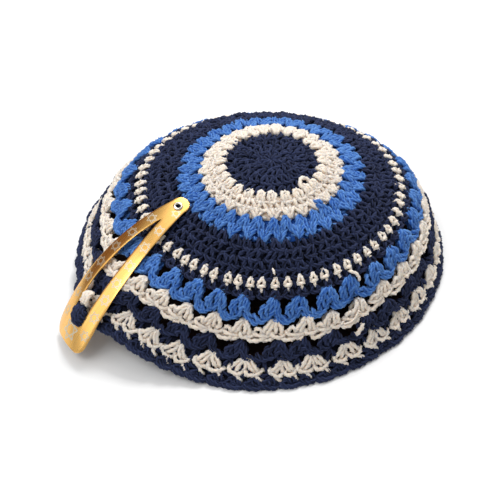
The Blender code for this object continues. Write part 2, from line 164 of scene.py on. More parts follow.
# Two double crochets in one gap: a dome of legs, the loops that cross it, and the chain to the next
CLUSTER = (
    Strand(((0.08, -0.08, -1.7), (0.1, 0.0, -0.2), (0.2, 0.22, 0.35), (0.26, 0.46, 0.3),
            (0.24, 0.68, -0.2), (0.18, 0.78, -1.0)), 1.16),
    Strand(((0.06, -0.06, -1.6), (0.04, 0.02, 0.1), (0.09, 0.24, 0.5), (0.12, 0.46, 0.3),
            (0.1, 0.58, -0.6)), 1.12),
    Strand(((0.02, -0.06, -1.6), (-0.04, 0.0, 0.1), (-0.06, 0.24, 0.5), (-0.06, 0.48, 0.4),
            (-0.02, 0.66, -0.5)), 1.12),
    Strand(((-0.04, -0.06, -1.7), (-0.12, 0.04, 0.0), (-0.2, 0.26, 0.4), (-0.23, 0.5, 0.35),
            (-0.17, 0.74, -0.2), (-0.1, 0.84, -1.0)), 1.14),
    Strand(((-0.26, 0.24, -1.2), (-0.33, 0.32, 0.0), (-0.37, 0.5, 0.2), (-0.33, 0.7, 0.2),
            (-0.26, 0.84, -0.2), (-0.2, 0.92, -1.0)), 1.14),
    Strand(((-0.6, 0.66, -1.0), (-0.54, 0.78, 0.0), (-0.45, 0.88, 0.2), (-0.34, 0.94, 0.1),
            (-0.26, 0.98, -0.8)), 1.1),
    Strand(((-0.02, 0.88, -0.6), (-0.04, 0.72, 0.3), (0.03, 0.48, 0.7), (0.1, 0.42, 0.65),
            (0.18, 0.6, 0.5), (0.33, 0.76, 0.2), (0.5, 0.84, -0.5))),
    Strand(((0.1, 0.62, -0.5), (0.18, 0.78, 0.1), (0.34, 0.94, 0.2), (0.5, 1.0, -0.1),
            (0.6, 0.98, -0.9))),
    Strand(((-0.76, 0.8, -1.0), (-0.7, 0.92, 0.0), (-0.55, 1.03, 0.2), (-0.44, 1.0, 0.1),
            (-0.36, 0.9, -0.7))),
    Strand(((-0.5, 1.0, -0.8), (-0.42, 1.02, 0.1), (-0.28, 0.94, 0.35), (-0.12, 0.84, 0.1),
            (-0.04, 0.74, -0.6))),
    Strand(((0.08, 0.9, -1.5), (0.35, 0.94, -1.4), (0.65, 0.94, -1.4), (0.92, 0.9, -1.5))),
    Strand(((0.04, -0.05, -1.6), (-0.08, 0.2, -2.3), (-0.16, 0.5, -2.4), (-0.22, 0.88, -1.8))),
    Strand(((0.06, -0.05, -1.6), (0.05, 0.2, -2.3), (0.04, 0.5, -2.4), (0.02, 0.88, -1.8))),
    Strand(((0.08, -0.05, -1.6), (0.16, 0.2, -2.3), (0.2, 0.5, -2.4), (0.24, 0.88, -1.8))),
)

# The pair of posts of the cream rounds, with a loop beside it and the chain that hangs under
PAIR = (
    Strand(((0.03, -0.06, -1.6), (-0.02, 0.0, 0.0), (-0.14, 0.2, 0.45), (-0.26, 0.42, 0.4),
            (-0.34, 0.6, -0.1), (-0.37, 0.7, -1.0)), 1.15),
    Strand(((0.04, -0.02, -1.4), (0.0, 0.08, 0.1), (-0.07, 0.3, 0.5), (-0.15, 0.54, 0.3),
            (-0.19, 0.7, -0.6)), 1.15),
    Strand(((0.07, -0.06, -1.6), (0.09, 0.02, 0.0), (0.11, 0.24, 0.5), (0.1, 0.48, 0.45),
            (0.07, 0.68, -0.4)), 1.1),
    Strand(((0.07, -0.08, -1.6), (0.13, 0.0, -0.1), (0.22, 0.2, 0.35), (0.26, 0.42, 0.35),
            (0.24, 0.62, 0.0), (0.2, 0.74, -0.9)), 1.18),
    Strand(((-0.54, 0.62, -0.8), (-0.52, 0.44, 0.1), (-0.43, 0.32, 0.35), (-0.33, 0.44, 0.3),
            (-0.28, 0.6, 0.1), (-0.24, 0.72, -0.8))),
    Strand(((-0.62, 0.52, -1.1), (-0.55, 0.6, 0.0), (-0.38, 0.72, 0.35), (-0.12, 0.74, 0.2),
            (0.0, 0.66, -0.6)), 1.05),
    Strand(((-0.06, 0.5, -0.8), (-0.03, 0.62, 0.3), (0.04, 0.78, 0.5), (0.2, 0.8, 0.4), (0.36, 0.72, 0.1),
            (0.46, 0.62, -0.8)), 1.05),
    Strand(((-0.8, 0.72, -1.0), (-0.74, 0.84, 0.1), (-0.6, 0.98, 0.3), (-0.38, 0.94, 0.35),
            (-0.18, 0.8, 0.0), (-0.12, 0.7, -0.8)), 1.05),
    Strand(((-0.3, 0.98, -0.6), (-0.22, 0.98, 0.2), (-0.1, 0.88, 0.2), (0.0, 0.78, -0.6)), 0.95),
    Strand(((0.08, 0.88, -1.4), (0.35, 0.9, -1.3), (0.65, 0.9, -1.3), (0.92, 0.88, -1.4))),
    Strand(((0.0, -0.05, -1.6), (-0.12, 0.2, -2.2), (-0.2, 0.5, -2.3), (-0.26, 0.9, -1.8))),
    Strand(((0.08, -0.05, -1.6), (0.1, 0.2, -2.2), (0.12, 0.5, -2.3), (0.14, 0.9, -1.8))),
)

# The cream round over the rim: an open A of two posts on two loops, each with a drop under it
OUTER_PAIR = (
    Strand(((0.0, -0.06, -1.6), (-0.06, 0.0, -0.2), (-0.2, 0.3, 0.3), (-0.34, 0.58, 0.1),
            (-0.41, 0.7, -0.9)), 1.12),
    Strand(((0.0, -0.04, -1.4), (-0.02, 0.06, -0.1), (-0.11, 0.4, 0.3), (-0.2, 0.7, 0.1),
            (-0.25, 0.84, -0.9)), 1.12),
    Strand(((0.02, -0.06, -1.6), (0.09, 0.0, -0.2), (0.22, 0.3, 0.3), (0.34, 0.62, 0.2),
            (0.4, 0.76, -0.9)), 1.12),
    Strand(((0.02, -0.02, -1.4), (0.06, 0.06, 0.0), (0.12, 0.36, 0.4), (0.22, 0.66, 0.2),
            (0.28, 0.8, -0.9)), 1.12),
    Strand(((0.02, 0.1, -1.4), (0.01, 0.22, 0.0), (0.0, 0.44, 0.2), (0.02, 0.66, 0.0),
            (0.0, 0.76, -1.0))),
    Strand(((-0.34, 0.46, -1.0), (-0.42, 0.58, 0.1), (-0.34, 0.8, 0.4), (-0.14, 0.92, 0.4),
            (0.0, 0.8, -0.3), (0.04, 0.7, -1.1)), 1.08),
    Strand(((0.02, 0.58, -0.8), (0.04, 0.72, 0.3), (0.14, 0.92, 0.5), (0.34, 0.9, 0.3), (0.46, 0.72, 0.0),
            (0.54, 0.6, -0.9)), 1.08),
    Strand(((-0.2, 0.86, -0.3), (-0.14, 1.02, 0.3), (-0.04, 1.22, -0.1), (0.0, 1.34, -1.2)), 0.9),
    Strand(((0.3, 0.86, -0.3), (0.37, 1.02, 0.3), (0.47, 1.22, -0.1), (0.51, 1.34, -1.2)), 0.9),
)

# A cream stitch in the dotted round: a narrow arch on a short bar, with a drop under it
DOT = (
    Strand(((0.06, -0.2, -1.4), (0.01, -0.2, 0.1), (-0.1, 0.1, 0.45), (-0.19, 0.44, 0.4),
            (-0.19, 0.7, -0.4)), 0.82),
    Strand(((-0.05, -0.2, -1.4), (0.03, -0.2, 0.15), (0.14, 0.1, 0.45), (0.22, 0.42, 0.4),
            (0.21, 0.68, -0.4)), 0.82),
    Strand(((-0.27, 0.6, -0.8), (-0.14, 0.68, 0.3), (0.04, 0.72, 0.5), (0.19, 0.68, 0.3),
            (0.27, 0.54, -0.7)), 0.95),
    Strand(((0.0, 0.8, -0.3), (0.04, 0.98, 0.25), (0.08, 1.22, 0.0), (0.1, 1.36, -1.1)), 0.72),
)

# Between the cream stitches of the dotted round
BETWEEN = (
    Strand(((0.1, -0.1, -2.1), (0.0, 0.0, -1.3), (-0.12, 0.35, -0.8), (-0.16, 0.7, -0.8),
            (-0.1, 1.0, -1.8))),
    Strand(((-0.1, -0.1, -2.1), (0.0, 0.0, -1.3), (0.12, 0.35, -0.8), (0.18, 0.7, -0.8),
            (0.12, 1.0, -1.8))),
    Strand(((-0.5, 0.1, -2.5), (-0.2, 0.3, -2.8), (0.1, 0.4, -2.7), (0.5, 0.1, -2.5))),
    Strand(((-0.5, 0.7, -2.5), (-0.2, 0.8, -2.8), (0.1, 0.8, -2.7), (0.5, 0.7, -2.5))),
)

# The last round: single crochet whose top loops make the braid along the rim
RIM_STITCH = (
    Strand(((0.12, -0.04, -1.8), (-0.02, 0.0, -0.4), (-0.22, 0.2, 0.1), (-0.38, 0.4, 0.0),
            (-0.46, 0.55, -0.9))),
    Strand(((-0.08, -0.04, -1.8), (0.06, 0.0, -0.4), (0.22, 0.2, 0.1), (0.36, 0.4, 0.0),
            (0.44, 0.55, -0.9))),
    Strand(((-0.3, 0.1, -1.2), (-0.12, 0.24, 0.0), (0.05, 0.42, 0.1), (0.16, 0.58, -0.7))),
    Strand(((-0.56, 0.36, -1.2), (-0.44, 0.5, 0.0), (-0.14, 0.66, 0.3), (0.2, 0.84, 0.1),
            (0.46, 0.96, -0.7))),
    Strand(((-0.6, 0.78, -1.3), (-0.4, 0.9, -0.5), (-0.05, 0.96, -0.3), (0.3, 0.78, 0.2),
            (0.52, 0.62, 0.0), (0.64, 0.5, -1.0))),
    Strand(((-0.5, 0.3, -2.5), (-0.2, 0.5, -2.8), (0.1, 0.6, -2.7), (0.5, 0.3, -2.5))),
    Strand(((-0.5, 0.9, -1.9), (-0.2, 0.98, -2.1), (0.1, 0.98, -2.1), (0.5, 0.9, -1.9))),
)


def linear(hex_colour: str) -> tuple[float, float, float, float]:
    """Turns an sRGB hex colour to the linear colour that a shader takes.

    Args:
        hex_colour: such as "#a0b1c2".

    Returns:
        Red, green, blue and alpha.
    """
    parts = [int(hex_colour[i:i + 2], 16) / 255 for i in (1, 3, 5)]
    return (*(c / 12.92 if c <= 0.04045 else ((c + 0.055) / 1.055) ** 2.4 for c in parts), 1.0)


def add_node(tree: bpy.types.NodeTree, kind: str, links: dict | None = None, **settings) -> bpy.types.Node:
    """Adds a shader node.

    Args:
        tree: the material's node tree.
        kind: the node's type, without its ShaderNode prefix.
        links: an output socket or a plain value for each input, by its name or its number.
        settings: the node's own properties.

    Returns:
        The new node.
    """
    node = tree.nodes.new("ShaderNode" + kind)
    for name, value in settings.items():
        setattr(node, name, value)
    for name, value in (links or {}).items():
        if isinstance(value, bpy.types.NodeSocket):
            tree.links.new(value, node.inputs[name])
        else:
            node.inputs[name].default_value = value
    return node


def start_material(name: str) -> tuple[bpy.types.Material, bpy.types.NodeTree, bpy.types.Node]:
    """Makes an empty Principled material.

    Args:
        name: the material's name.

    Returns:
        The material, its tree and its Principled node.
    """
    made = bpy.data.materials.new(name)
    made.use_nodes = True
    return made, made.node_tree, made.node_tree.nodes["Principled BSDF"]


def link_object(name: str, data: bpy.types.ID) -> bpy.types.Object:
    """Puts a mesh, a light or a camera in the scene.

    Args:
        name: the object's name.
        data: what it shows.

    Returns:
        The object.
    """
    made = bpy.data.objects.new(name, data)
    bpy.context.scene.collection.objects.link(made)
    return made


@dataclass(frozen=True)
class CottonYarn:
    """Soft spun cotton, plied and dyed: matt, with a fibrous halo that lightens its edges and painted shade
    in the hollows between its plies.

    Args:
        name: the material's name.
        lit: sRGB colour of the plies' crests.
        deep: sRGB painted shade in the hollows between the plies, also mixed in at random by the fibres and
            strands.
        sheen: how strong the halo of fibres is.
        through: how much light passes through its fibres, which softens its shadows.
    """

    name: str
    lit: str
    deep: str
    sheen: float
    through: float

    FIBRE_ROUND = 2.6  # noise cells round a strand 1.5 mm thick: coarser than fibre, so that it shows
    FIBRE_ALONG = 0.55  # noise cells in each mm of strand
    FIBRE_DEPTH = 0.1 * MM
    FIBRE_STRENGTH = 0.8
    FIBRE_RANGE = (0.30, 0.70)  # the part of the noise that carries the change
    # How much of the colour's change follows the plies (painted shade in their hollows), the fibres and the
    # strand
    CREST_SHADE_SHARE = 0.62
    FIBRE_SHARE = 0.45
    STRAND_SHARE = 0.22
    ROUGHNESS = 0.92
    SHEEN_ROUGHNESS = 0.45
    SHINE = 0.25  # loose fibres, with no smooth face to shine
    SCATTER = (1.0, 0.85, 0.7)
    SCATTER_REACH = 0.8 * MM

    def build(self) -> bpy.types.Material:
        """Makes the material."""
        made, tree, shader = start_material(self.name)
        yarn = add_node(tree, "Attribute", attribute_name="yarn")
        tint = add_node(tree, "Attribute", attribute_name="tint")
        crest = add_node(tree, "Attribute", attribute_name="crest")
        stretched = add_node(tree, "VectorMath", {
            0: yarn.outputs["Vector"], 1: (self.FIBRE_ROUND, self.FIBRE_ROUND, self.FIBRE_ALONG),
        }, operation="MULTIPLY")
        fibre = add_node(tree, "TexNoise", {
            "Vector": stretched.outputs[0], "W": tint.outputs["Fac"], "Scale": 1.0, "Detail": 3.0,
            "Roughness": 0.65,
        }, noise_dimensions="4D")
        spread = add_node(tree, "MapRange", {
            "Value": fibre.outputs["Fac"],
            "From Min": self.FIBRE_RANGE[0], "From Max": self.FIBRE_RANGE[1],
            "To Min": -self.FIBRE_SHARE / 2, "To Max": self.FIBRE_SHARE / 2,
        })
        wear = add_node(tree, "Math", {
            0: tint.outputs["Fac"], 1: self.STRAND_SHARE, 2: spread.outputs[0],
        }, operation="MULTIPLY_ADD")
        share = add_node(tree, "Math", {
            0: crest.outputs["Fac"], 1: self.CREST_SHADE_SHARE, 2: wear.outputs[0],
        }, operation="MULTIPLY_ADD", use_clamp=True)
        # Painted shade: the ply hollows take the deep colour and the crests the lit one, varied at random
        # by fibres and strands
        colour = add_node(tree, "Mix", {
            "Factor": share.outputs[0], 6: linear(self.deep), 7: linear(self.lit),
        }, data_type="RGBA")
        bump = add_node(tree, "Bump", {
            "Height": fibre.outputs["Fac"], "Strength": self.FIBRE_STRENGTH,
            "Distance": self.FIBRE_DEPTH,
        })
        tree.links.new(colour.outputs[2], shader.inputs["Base Color"])
        tree.links.new(bump.outputs[0], shader.inputs["Normal"])
        shader.inputs["Roughness"].default_value = self.ROUGHNESS
        shader.inputs["Sheen Weight"].default_value = self.sheen
        shader.inputs["Sheen Roughness"].default_value = self.SHEEN_ROUGHNESS
        shader.inputs["Specular IOR Level"].default_value = self.SHINE
        shader.inputs["Subsurface Weight"].default_value = self.through
        shader.inputs["Subsurface Radius"].default_value = self.SCATTER
        shader.inputs["Subsurface Scale"].default_value = self.SCATTER_REACH
        return made


@dataclass(frozen=True)
class PlatedSteel:
    """Thin sheet steel, gold plated and lacquered: a soft mirror with faint rolling lines along it.

    Args:
        name: the material's name.
        face: sRGB colour of the metal.
        worn: sRGB colour in the streaks.
        roughness: of the lacquered face.
    """

    name: str
    face: str
    worn: str
    roughness: float

    ROLLING = (40.0, 900.0, 40.0)  # streaks in a metre, each way of the sheet
    GRAIN_DEPTH = 0.004 * MM
    GRAIN_STRENGTH = 0.3
    SMOOTHER = 0.05  # how much smoother and rougher than the face the streaks are
    ROUGHER = 0.08

    def build(self) -> bpy.types.Material:
        """Makes the material."""
        made, tree, shader = start_material(self.name)
        sheet = add_node(tree, "Attribute", attribute_name="sheet")
        lines = add_node(tree, "VectorMath", {
            0: sheet.outputs["Vector"], 1: self.ROLLING,
        }, operation="MULTIPLY")
        streak = add_node(tree, "TexNoise", {"Vector": lines.outputs[0], "Scale": 1.0, "Detail": 4.0})
        colour = add_node(tree, "Mix", {
            "Factor": streak.outputs["Fac"], 6: linear(self.face), 7: linear(self.worn),
        }, data_type="RGBA")
        gloss = add_node(tree, "MapRange", {
            "Value": streak.outputs["Fac"],
            "To Min": self.roughness - self.SMOOTHER, "To Max": self.roughness + self.ROUGHER,
        })
        bump = add_node(tree, "Bump", {
            "Height": streak.outputs["Fac"], "Strength": self.GRAIN_STRENGTH,
            "Distance": self.GRAIN_DEPTH,
        })
        tree.links.new(colour.outputs[2], shader.inputs["Base Color"])
        tree.links.new(gloss.outputs[0], shader.inputs["Roughness"])
        tree.links.new(bump.outputs[0], shader.inputs["Normal"])
        shader.inputs["Metallic"].default_value = 1.0
        return made


NAVY_COTTON = CottonYarn("navy_cotton_yarn", "#3d4870", "#070b1c", 0.02, 0.0)
CREAM_COTTON = CottonYarn("cream_cotton_yarn", "#fff4e9", "#fae5d2", 0.03, 0.5)
BLUE_COTTON = CottonYarn("blue_cotton_yarn", "#74a8e8", "#1c52a8", 0.03, 0.0)
GOLD_PLATE = PlatedSteel("gold_plated_steel", "#f7c878", "#ecb25e", 0.26)
NICKEL = PlatedSteel("nickel_plated_eyelet", "#efe9dc", "#d9d0bd", 0.25)
SILVER_PRINT = PlatedSteel("silver_foil_print", "#e6dcc8", "#cfc2a6", 0.45)
STEEL_TONGUE = PlatedSteel("gold_plated_steel_tongue", "#e9b453", "#c98f38", 0.34)


def slopes(at: np.ndarray, values: np.ndarray) -> np.ndarray:
    """Tangents that keep a cubic through the values from overshooting.

    Args:
        at: where each value is.
        values: the values.

    Returns:
        A tangent for each value.
    """
    step = np.diff(at)
    rise = np.diff(values) / step
    out = np.zeros(len(at))
    out[0], out[-1] = rise[0], rise[-1]
    before, after = step[:-1] + 2 * step[1:], 2 * step[:-1] + step[1:]
    same = rise[:-1] * rise[1:] > 0
    safe = np.where(same, rise[:-1], 1), np.where(same, rise[1:], 1)
    out[1:-1] = np.where(same, (before + after) / (before / safe[0] + after / safe[1]), 0)
    return out


class Dome:
    """The settled surface that the yarn lies on, the same as the frame's."""

    NEAR = 0.004  # share of the arc between the points that a slope is read from

    def __init__(self, axis: Vector) -> None:
        """Works out the outline's arc.

        Args:
            axis: a point on the crown's upright axis.
        """
        self.axis = axis
        self.radii = np.array(EDGE_REACH) * RIM_RADIUS
        self.heights = np.array(EDGE_HEIGHT) * CROWN_HEIGHT
        chords = np.hypot(np.diff(self.radii), np.diff(self.heights))
        self.arcs = np.concatenate([[0.0], np.cumsum(chords)])
        self.length = self.arcs[-1]
        self.edges = self.arcs / self.length
        self.radius_slopes = slopes(self.arcs, self.radii)
        self.height_slopes = slopes(self.arcs, self.heights)

    def read(self, share: np.ndarray) -> tuple[np.ndarray, np.ndarray]:
        """Reads the outline.

        Args:
            share: of the arc from the crown to the rim.

        Returns:
            The radii and the heights there.
        """
        arc = np.clip(share, 0, 1) * self.length
        i = np.clip(np.searchsorted(self.arcs, arc) - 1, 0, len(self.arcs) - 2)
        span = self.arcs[i + 1] - self.arcs[i]
        t = (arc - self.arcs[i]) / span
        start, end = (1 + 2 * t) * (1 - t) ** 2, t * t * (3 - 2 * t)
        leave, arrive = t * (1 - t) ** 2 * span, t * t * (t - 1) * span
        return tuple(
            start * v[i] + end * v[i + 1] + leave * m[i] + arrive * m[i + 1]
            for v, m in ((self.radii, self.radius_slopes), (self.heights, self.height_slopes))
        )

    def place(
        self, azimuth: np.ndarray, share: np.ndarray, lift: np.ndarray, rest: float = 0.0
    ) -> np.ndarray:
        """Points on or near the surface.

        Args:
            azimuth: radians round the axis.
            share: of the arc from the crown to the rim.
            lift: metres above the surface.
            rest: how low a point may come at the rim.

        Returns:
            The points, with x, y and z in the last axis.
        """
        radius, height = self.read(share)
        r0, z0 = self.read(np.maximum(share - self.NEAR, 0))
        r1, z1 = self.read(np.minimum(share + self.NEAR, 1))
        size = np.hypot(r1 - r0, z1 - z0)
        slump = np.clip(1 - height / (LEAN_FROM * CROWN_HEIGHT), 0, 1)
        shoulder = np.sin(np.pi * np.clip(1 - height / (SHOULDER_FROM * CROWN_HEIGHT), 0, 1))
        radius = radius + lift * (z0 - z1) / size
        height = np.maximum(height + lift * (r1 - r0) / size, rest)

        def waves(terms: tuple[tuple[int, float, float], ...]) -> np.ndarray:
            """Adds up waves round the cap."""
            return sum(c * np.cos(n * azimuth) + s * np.sin(n * azimuth) for n, c, s in terms)

        radius = radius + RIM_RADIUS * (slump * waves(RIM_OVAL) + shoulder * waves(SHOULDER_OUT))
        height = height + CROWN_HEIGHT * shoulder * waves(SHOULDER_UP)
        forward = 0.0
        for at, half_width, out, ahead, up, full_from in SWELLS:
            away = (np.degrees(azimuth) - at + 180) % 360 - 180
            ramp = np.minimum(slump / full_from, 1)
            bell = np.cos(np.clip(away / half_width, -1, 1) * np.pi / 2) ** 2
            amount = bell * ramp * ramp * (3 - 2 * ramp)
            radius = radius + RIM_RADIUS * out * amount
            forward = forward + RIM_RADIUS * ahead * amount
            height = height + CROWN_HEIGHT * up * amount
        x = radius * np.cos(azimuth) + LEAN[0] * RIM_RADIUS * slump + self.axis.x
        y = radius * np.sin(azimuth) + LEAN[1] * RIM_RADIUS * slump - forward + self.axis.y
        return np.stack([x, y, height], axis=-1)


def smooth_way(points: np.ndarray) -> np.ndarray:
    """A smooth line through each row of points.

    Args:
        points: rows of points, shaped (rows, points, 3).

    Returns:
        The lines, shaped (rows, more points, 3).
    """
    before, after = 2 * points[:, :1] - points[:, 1:2], 2 * points[:, -1:] - points[:, -2:-1]
    ends = np.concatenate([before, points, after], axis=1)
    a, b, c, d = ends[:, :-3], ends[:, 1:-2], ends[:, 2:-1], ends[:, 3:]
    t = (np.arange(WAY_STEPS) / WAY_STEPS)[None, None, :, None]
    a, b, c, d = (x[:, :, None] for x in (a, b, c, d))
    line = 0.5 * (2 * b + (c - a) * t + (2 * a - 5 * b + 4 * c - d) * t**2 + (3 * b - a - 3 * c + d) * t**3)
    rows = line.reshape(len(points), -1, 3)
    return np.concatenate([rows, points[:, -1:]], axis=1)


class YarnMesh:
    """Gathers twisted strands and makes one mesh of them."""

    SIDES = 6  # a crest and a hollow for each of three plies
    PLY_RELIEF = 0.2  # of the strand's radius, up at a crest and down in a hollow
    END_SHRINK = 0.45  # the radius of a strand's ends, against the rest of it
    ASKEW = (0.31, 0.24, 0.92)  # a direction that no strand starts in

    def __init__(self, seed: int) -> None:
        """Starts with no strands.

        Args:
            seed: of the strands' turns and tints.
        """
        self.random = np.random.default_rng(seed)
        self.points: list[np.ndarray] = []
        self.faces: list[np.ndarray] = []
        self.caps: list[np.ndarray] = []
        self.tones: list[np.ndarray] = []
        self.cap_tones: list[np.ndarray] = []
        self.yarn: list[np.ndarray] = []
        self.tint: list[np.ndarray] = []
        self.crest: list[np.ndarray] = []
        self.count = 0

    def add(self, lines: np.ndarray, width: float, tone: Tone) -> None:
        """Adds a strand along each line.

        Args:
            lines: dense points, shaped (strands, points, 3).
            width: the strands' thickness.
            tone: their colour.
        """
        lengths = np.linalg.norm(np.diff(lines, axis=1), axis=2)
        runs = np.concatenate([np.zeros((len(lines), 1)), np.cumsum(lengths, axis=1)], axis=1)
        rings = max(4, int(round(runs[:, -1].mean() / RING_STEP)) + 1)
        even = np.linspace(0, 1, rings)
        centres = np.empty((len(lines), rings, 3))
        for n, (line, run) in enumerate(zip(lines, runs)):
            for axis in range(3):
                centres[n, :, axis] = np.interp(even * run[-1], run, line[:, axis])
        along = runs[:, -1:] * even
        tangent = np.gradient(centres, axis=1)
        tangent /= np.linalg.norm(tangent, axis=2, keepdims=True)
        normal = np.cross(tangent[:, 0], np.array(self.ASKEW))
        frames = []
        for i in range(rings):
            normal = normal - (normal * tangent[:, i]).sum(axis=1, keepdims=True) * tangent[:, i]
            normal = normal / np.linalg.norm(normal, axis=1, keepdims=True)
            frames.append(normal)
        normal = np.stack(frames, axis=1)
        beside = np.cross(tangent, normal)
        corner = 2 * np.pi * np.arange(self.SIDES) / self.SIDES
        turn = 2 * np.pi * along / YARN_TWIST + self.random.uniform(0, 2 * np.pi, (len(lines), 1))
        angle = turn[:, :, None] + corner
        reach = width / 2 * (1 + self.PLY_RELIEF * np.cos(self.SIDES / 2 * corner))
        taper = np.ones(rings)
        taper[0] = taper[-1] = self.END_SHRINK
        reach = reach[None, None] * taper[None, :, None]
        ring = (
            centres[:, :, None]
            + (reach * np.cos(angle))[..., None] * normal[:, :, None]
            + (reach * np.sin(angle))[..., None] * beside[:, :, None]
        )
        self.collect(ring, along, corner, tone)

    def collect(self, ring: np.ndarray, along: np.ndarray, corner: np.ndarray, tone: Tone) -> None:
        """Keeps the points, faces and yarn coordinates of a set of strands.

        Args:
            ring: the points, shaped (strands, rings, sides, 3).
            along: metres along its strand, for each ring.
            corner: the angle of each side.
            tone: the strands' colour.
        """
        strands, rings, sides = ring.shape[:3]
        index = self.count + np.arange(strands * rings * sides).reshape(strands, rings, sides)
        beyond = np.roll(index, -1, axis=2)
        quads = np.stack([index[:, :-1], beyond[:, :-1], beyond[:, 1:], index[:, 1:]], axis=-1)
        self.faces.append(quads.reshape(-1, 4))
        self.tones.append(np.full(quads.size // 4, tone.value))
        self.caps.append(np.concatenate([index[:, 0, ::-1], index[:, -1]]))
        self.cap_tones.append(np.full(2 * strands, tone.value))
        self.points.append(ring.reshape(-1, 3))
        round_cos = np.broadcast_to(np.cos(corner), ring.shape[:3])
        round_sin = np.broadcast_to(np.sin(corner), ring.shape[:3])
        far = np.broadcast_to((along / MM)[:, :, None], ring.shape[:3])
        self.yarn.append(np.stack([round_cos, round_sin, far], axis=-1).reshape(-1, 3))
        # 1 on a ply's crest and 0 in the hollow between plies, where the material paints shade
        crest = 0.5 + 0.5 * np.cos(self.SIDES / 2 * corner)
        self.crest.append(np.broadcast_to(crest, ring.shape[:3]).reshape(-1))
        tint = self.random.uniform(0, 1, (strands, 1, 1))
        self.tint.append(np.broadcast_to(tint, ring.shape[:3]).reshape(-1))
        self.count += strands * rings * sides

    def build(self, name: str, finishes: list[bpy.types.Material]) -> bpy.types.Object:
        """Makes the object.

        Args:
            name: the piece's name.
            finishes: a material for each tone.

        Returns:
            The object.
        """
        mesh = bpy.data.meshes.new(name)
        quads, caps = np.concatenate(self.faces), np.concatenate(self.caps)
        mesh.from_pydata(np.concatenate(self.points).tolist(), [], quads.tolist() + caps.tolist())
        used = sorted(set(np.concatenate(self.tones).tolist()))
        for value in used:
            mesh.materials.append(finishes[value])
        tones = np.concatenate(self.tones + self.cap_tones)
        mesh.polygons.foreach_set("material_index", np.searchsorted(used, tones).astype(np.int32))
        mesh.attributes.new("yarn", "FLOAT_VECTOR", "POINT").data.foreach_set(
            "vector", np.concatenate(self.yarn).astype(np.float32).ravel()
        )
        for name_of, kept in (("tint", self.tint), ("crest", self.crest)):
            mesh.attributes.new(name_of, "FLOAT", "POINT").data.foreach_set(
                "value", np.concatenate(kept).astype(np.float32)
            )
        mesh.shade_smooth()
        mesh.update()
        return link_object(name, mesh)


@dataclass(frozen=True)
class Round:
    """One round of equal stitches.

    Args:
        stitch: the strands of one stitch.
        start: where it starts, as a share of its band.
        end: where it ends, the same way.
        count: stitches in the round.
        at: the azimuth of one stitch's middle, in degrees.
        slant: how far its lower edge is turned round, in pitches.
        tone: its colour, or the band's own.
        sunk: metres that it lies deeper than usual.
    """

    stitch: tuple[Strand, ...]
    start: float
    end: float
    count: int
    at: float = -90.0
    slant: float = 0.0
    tone: Tone | None = None
    sunk: float = 0.0


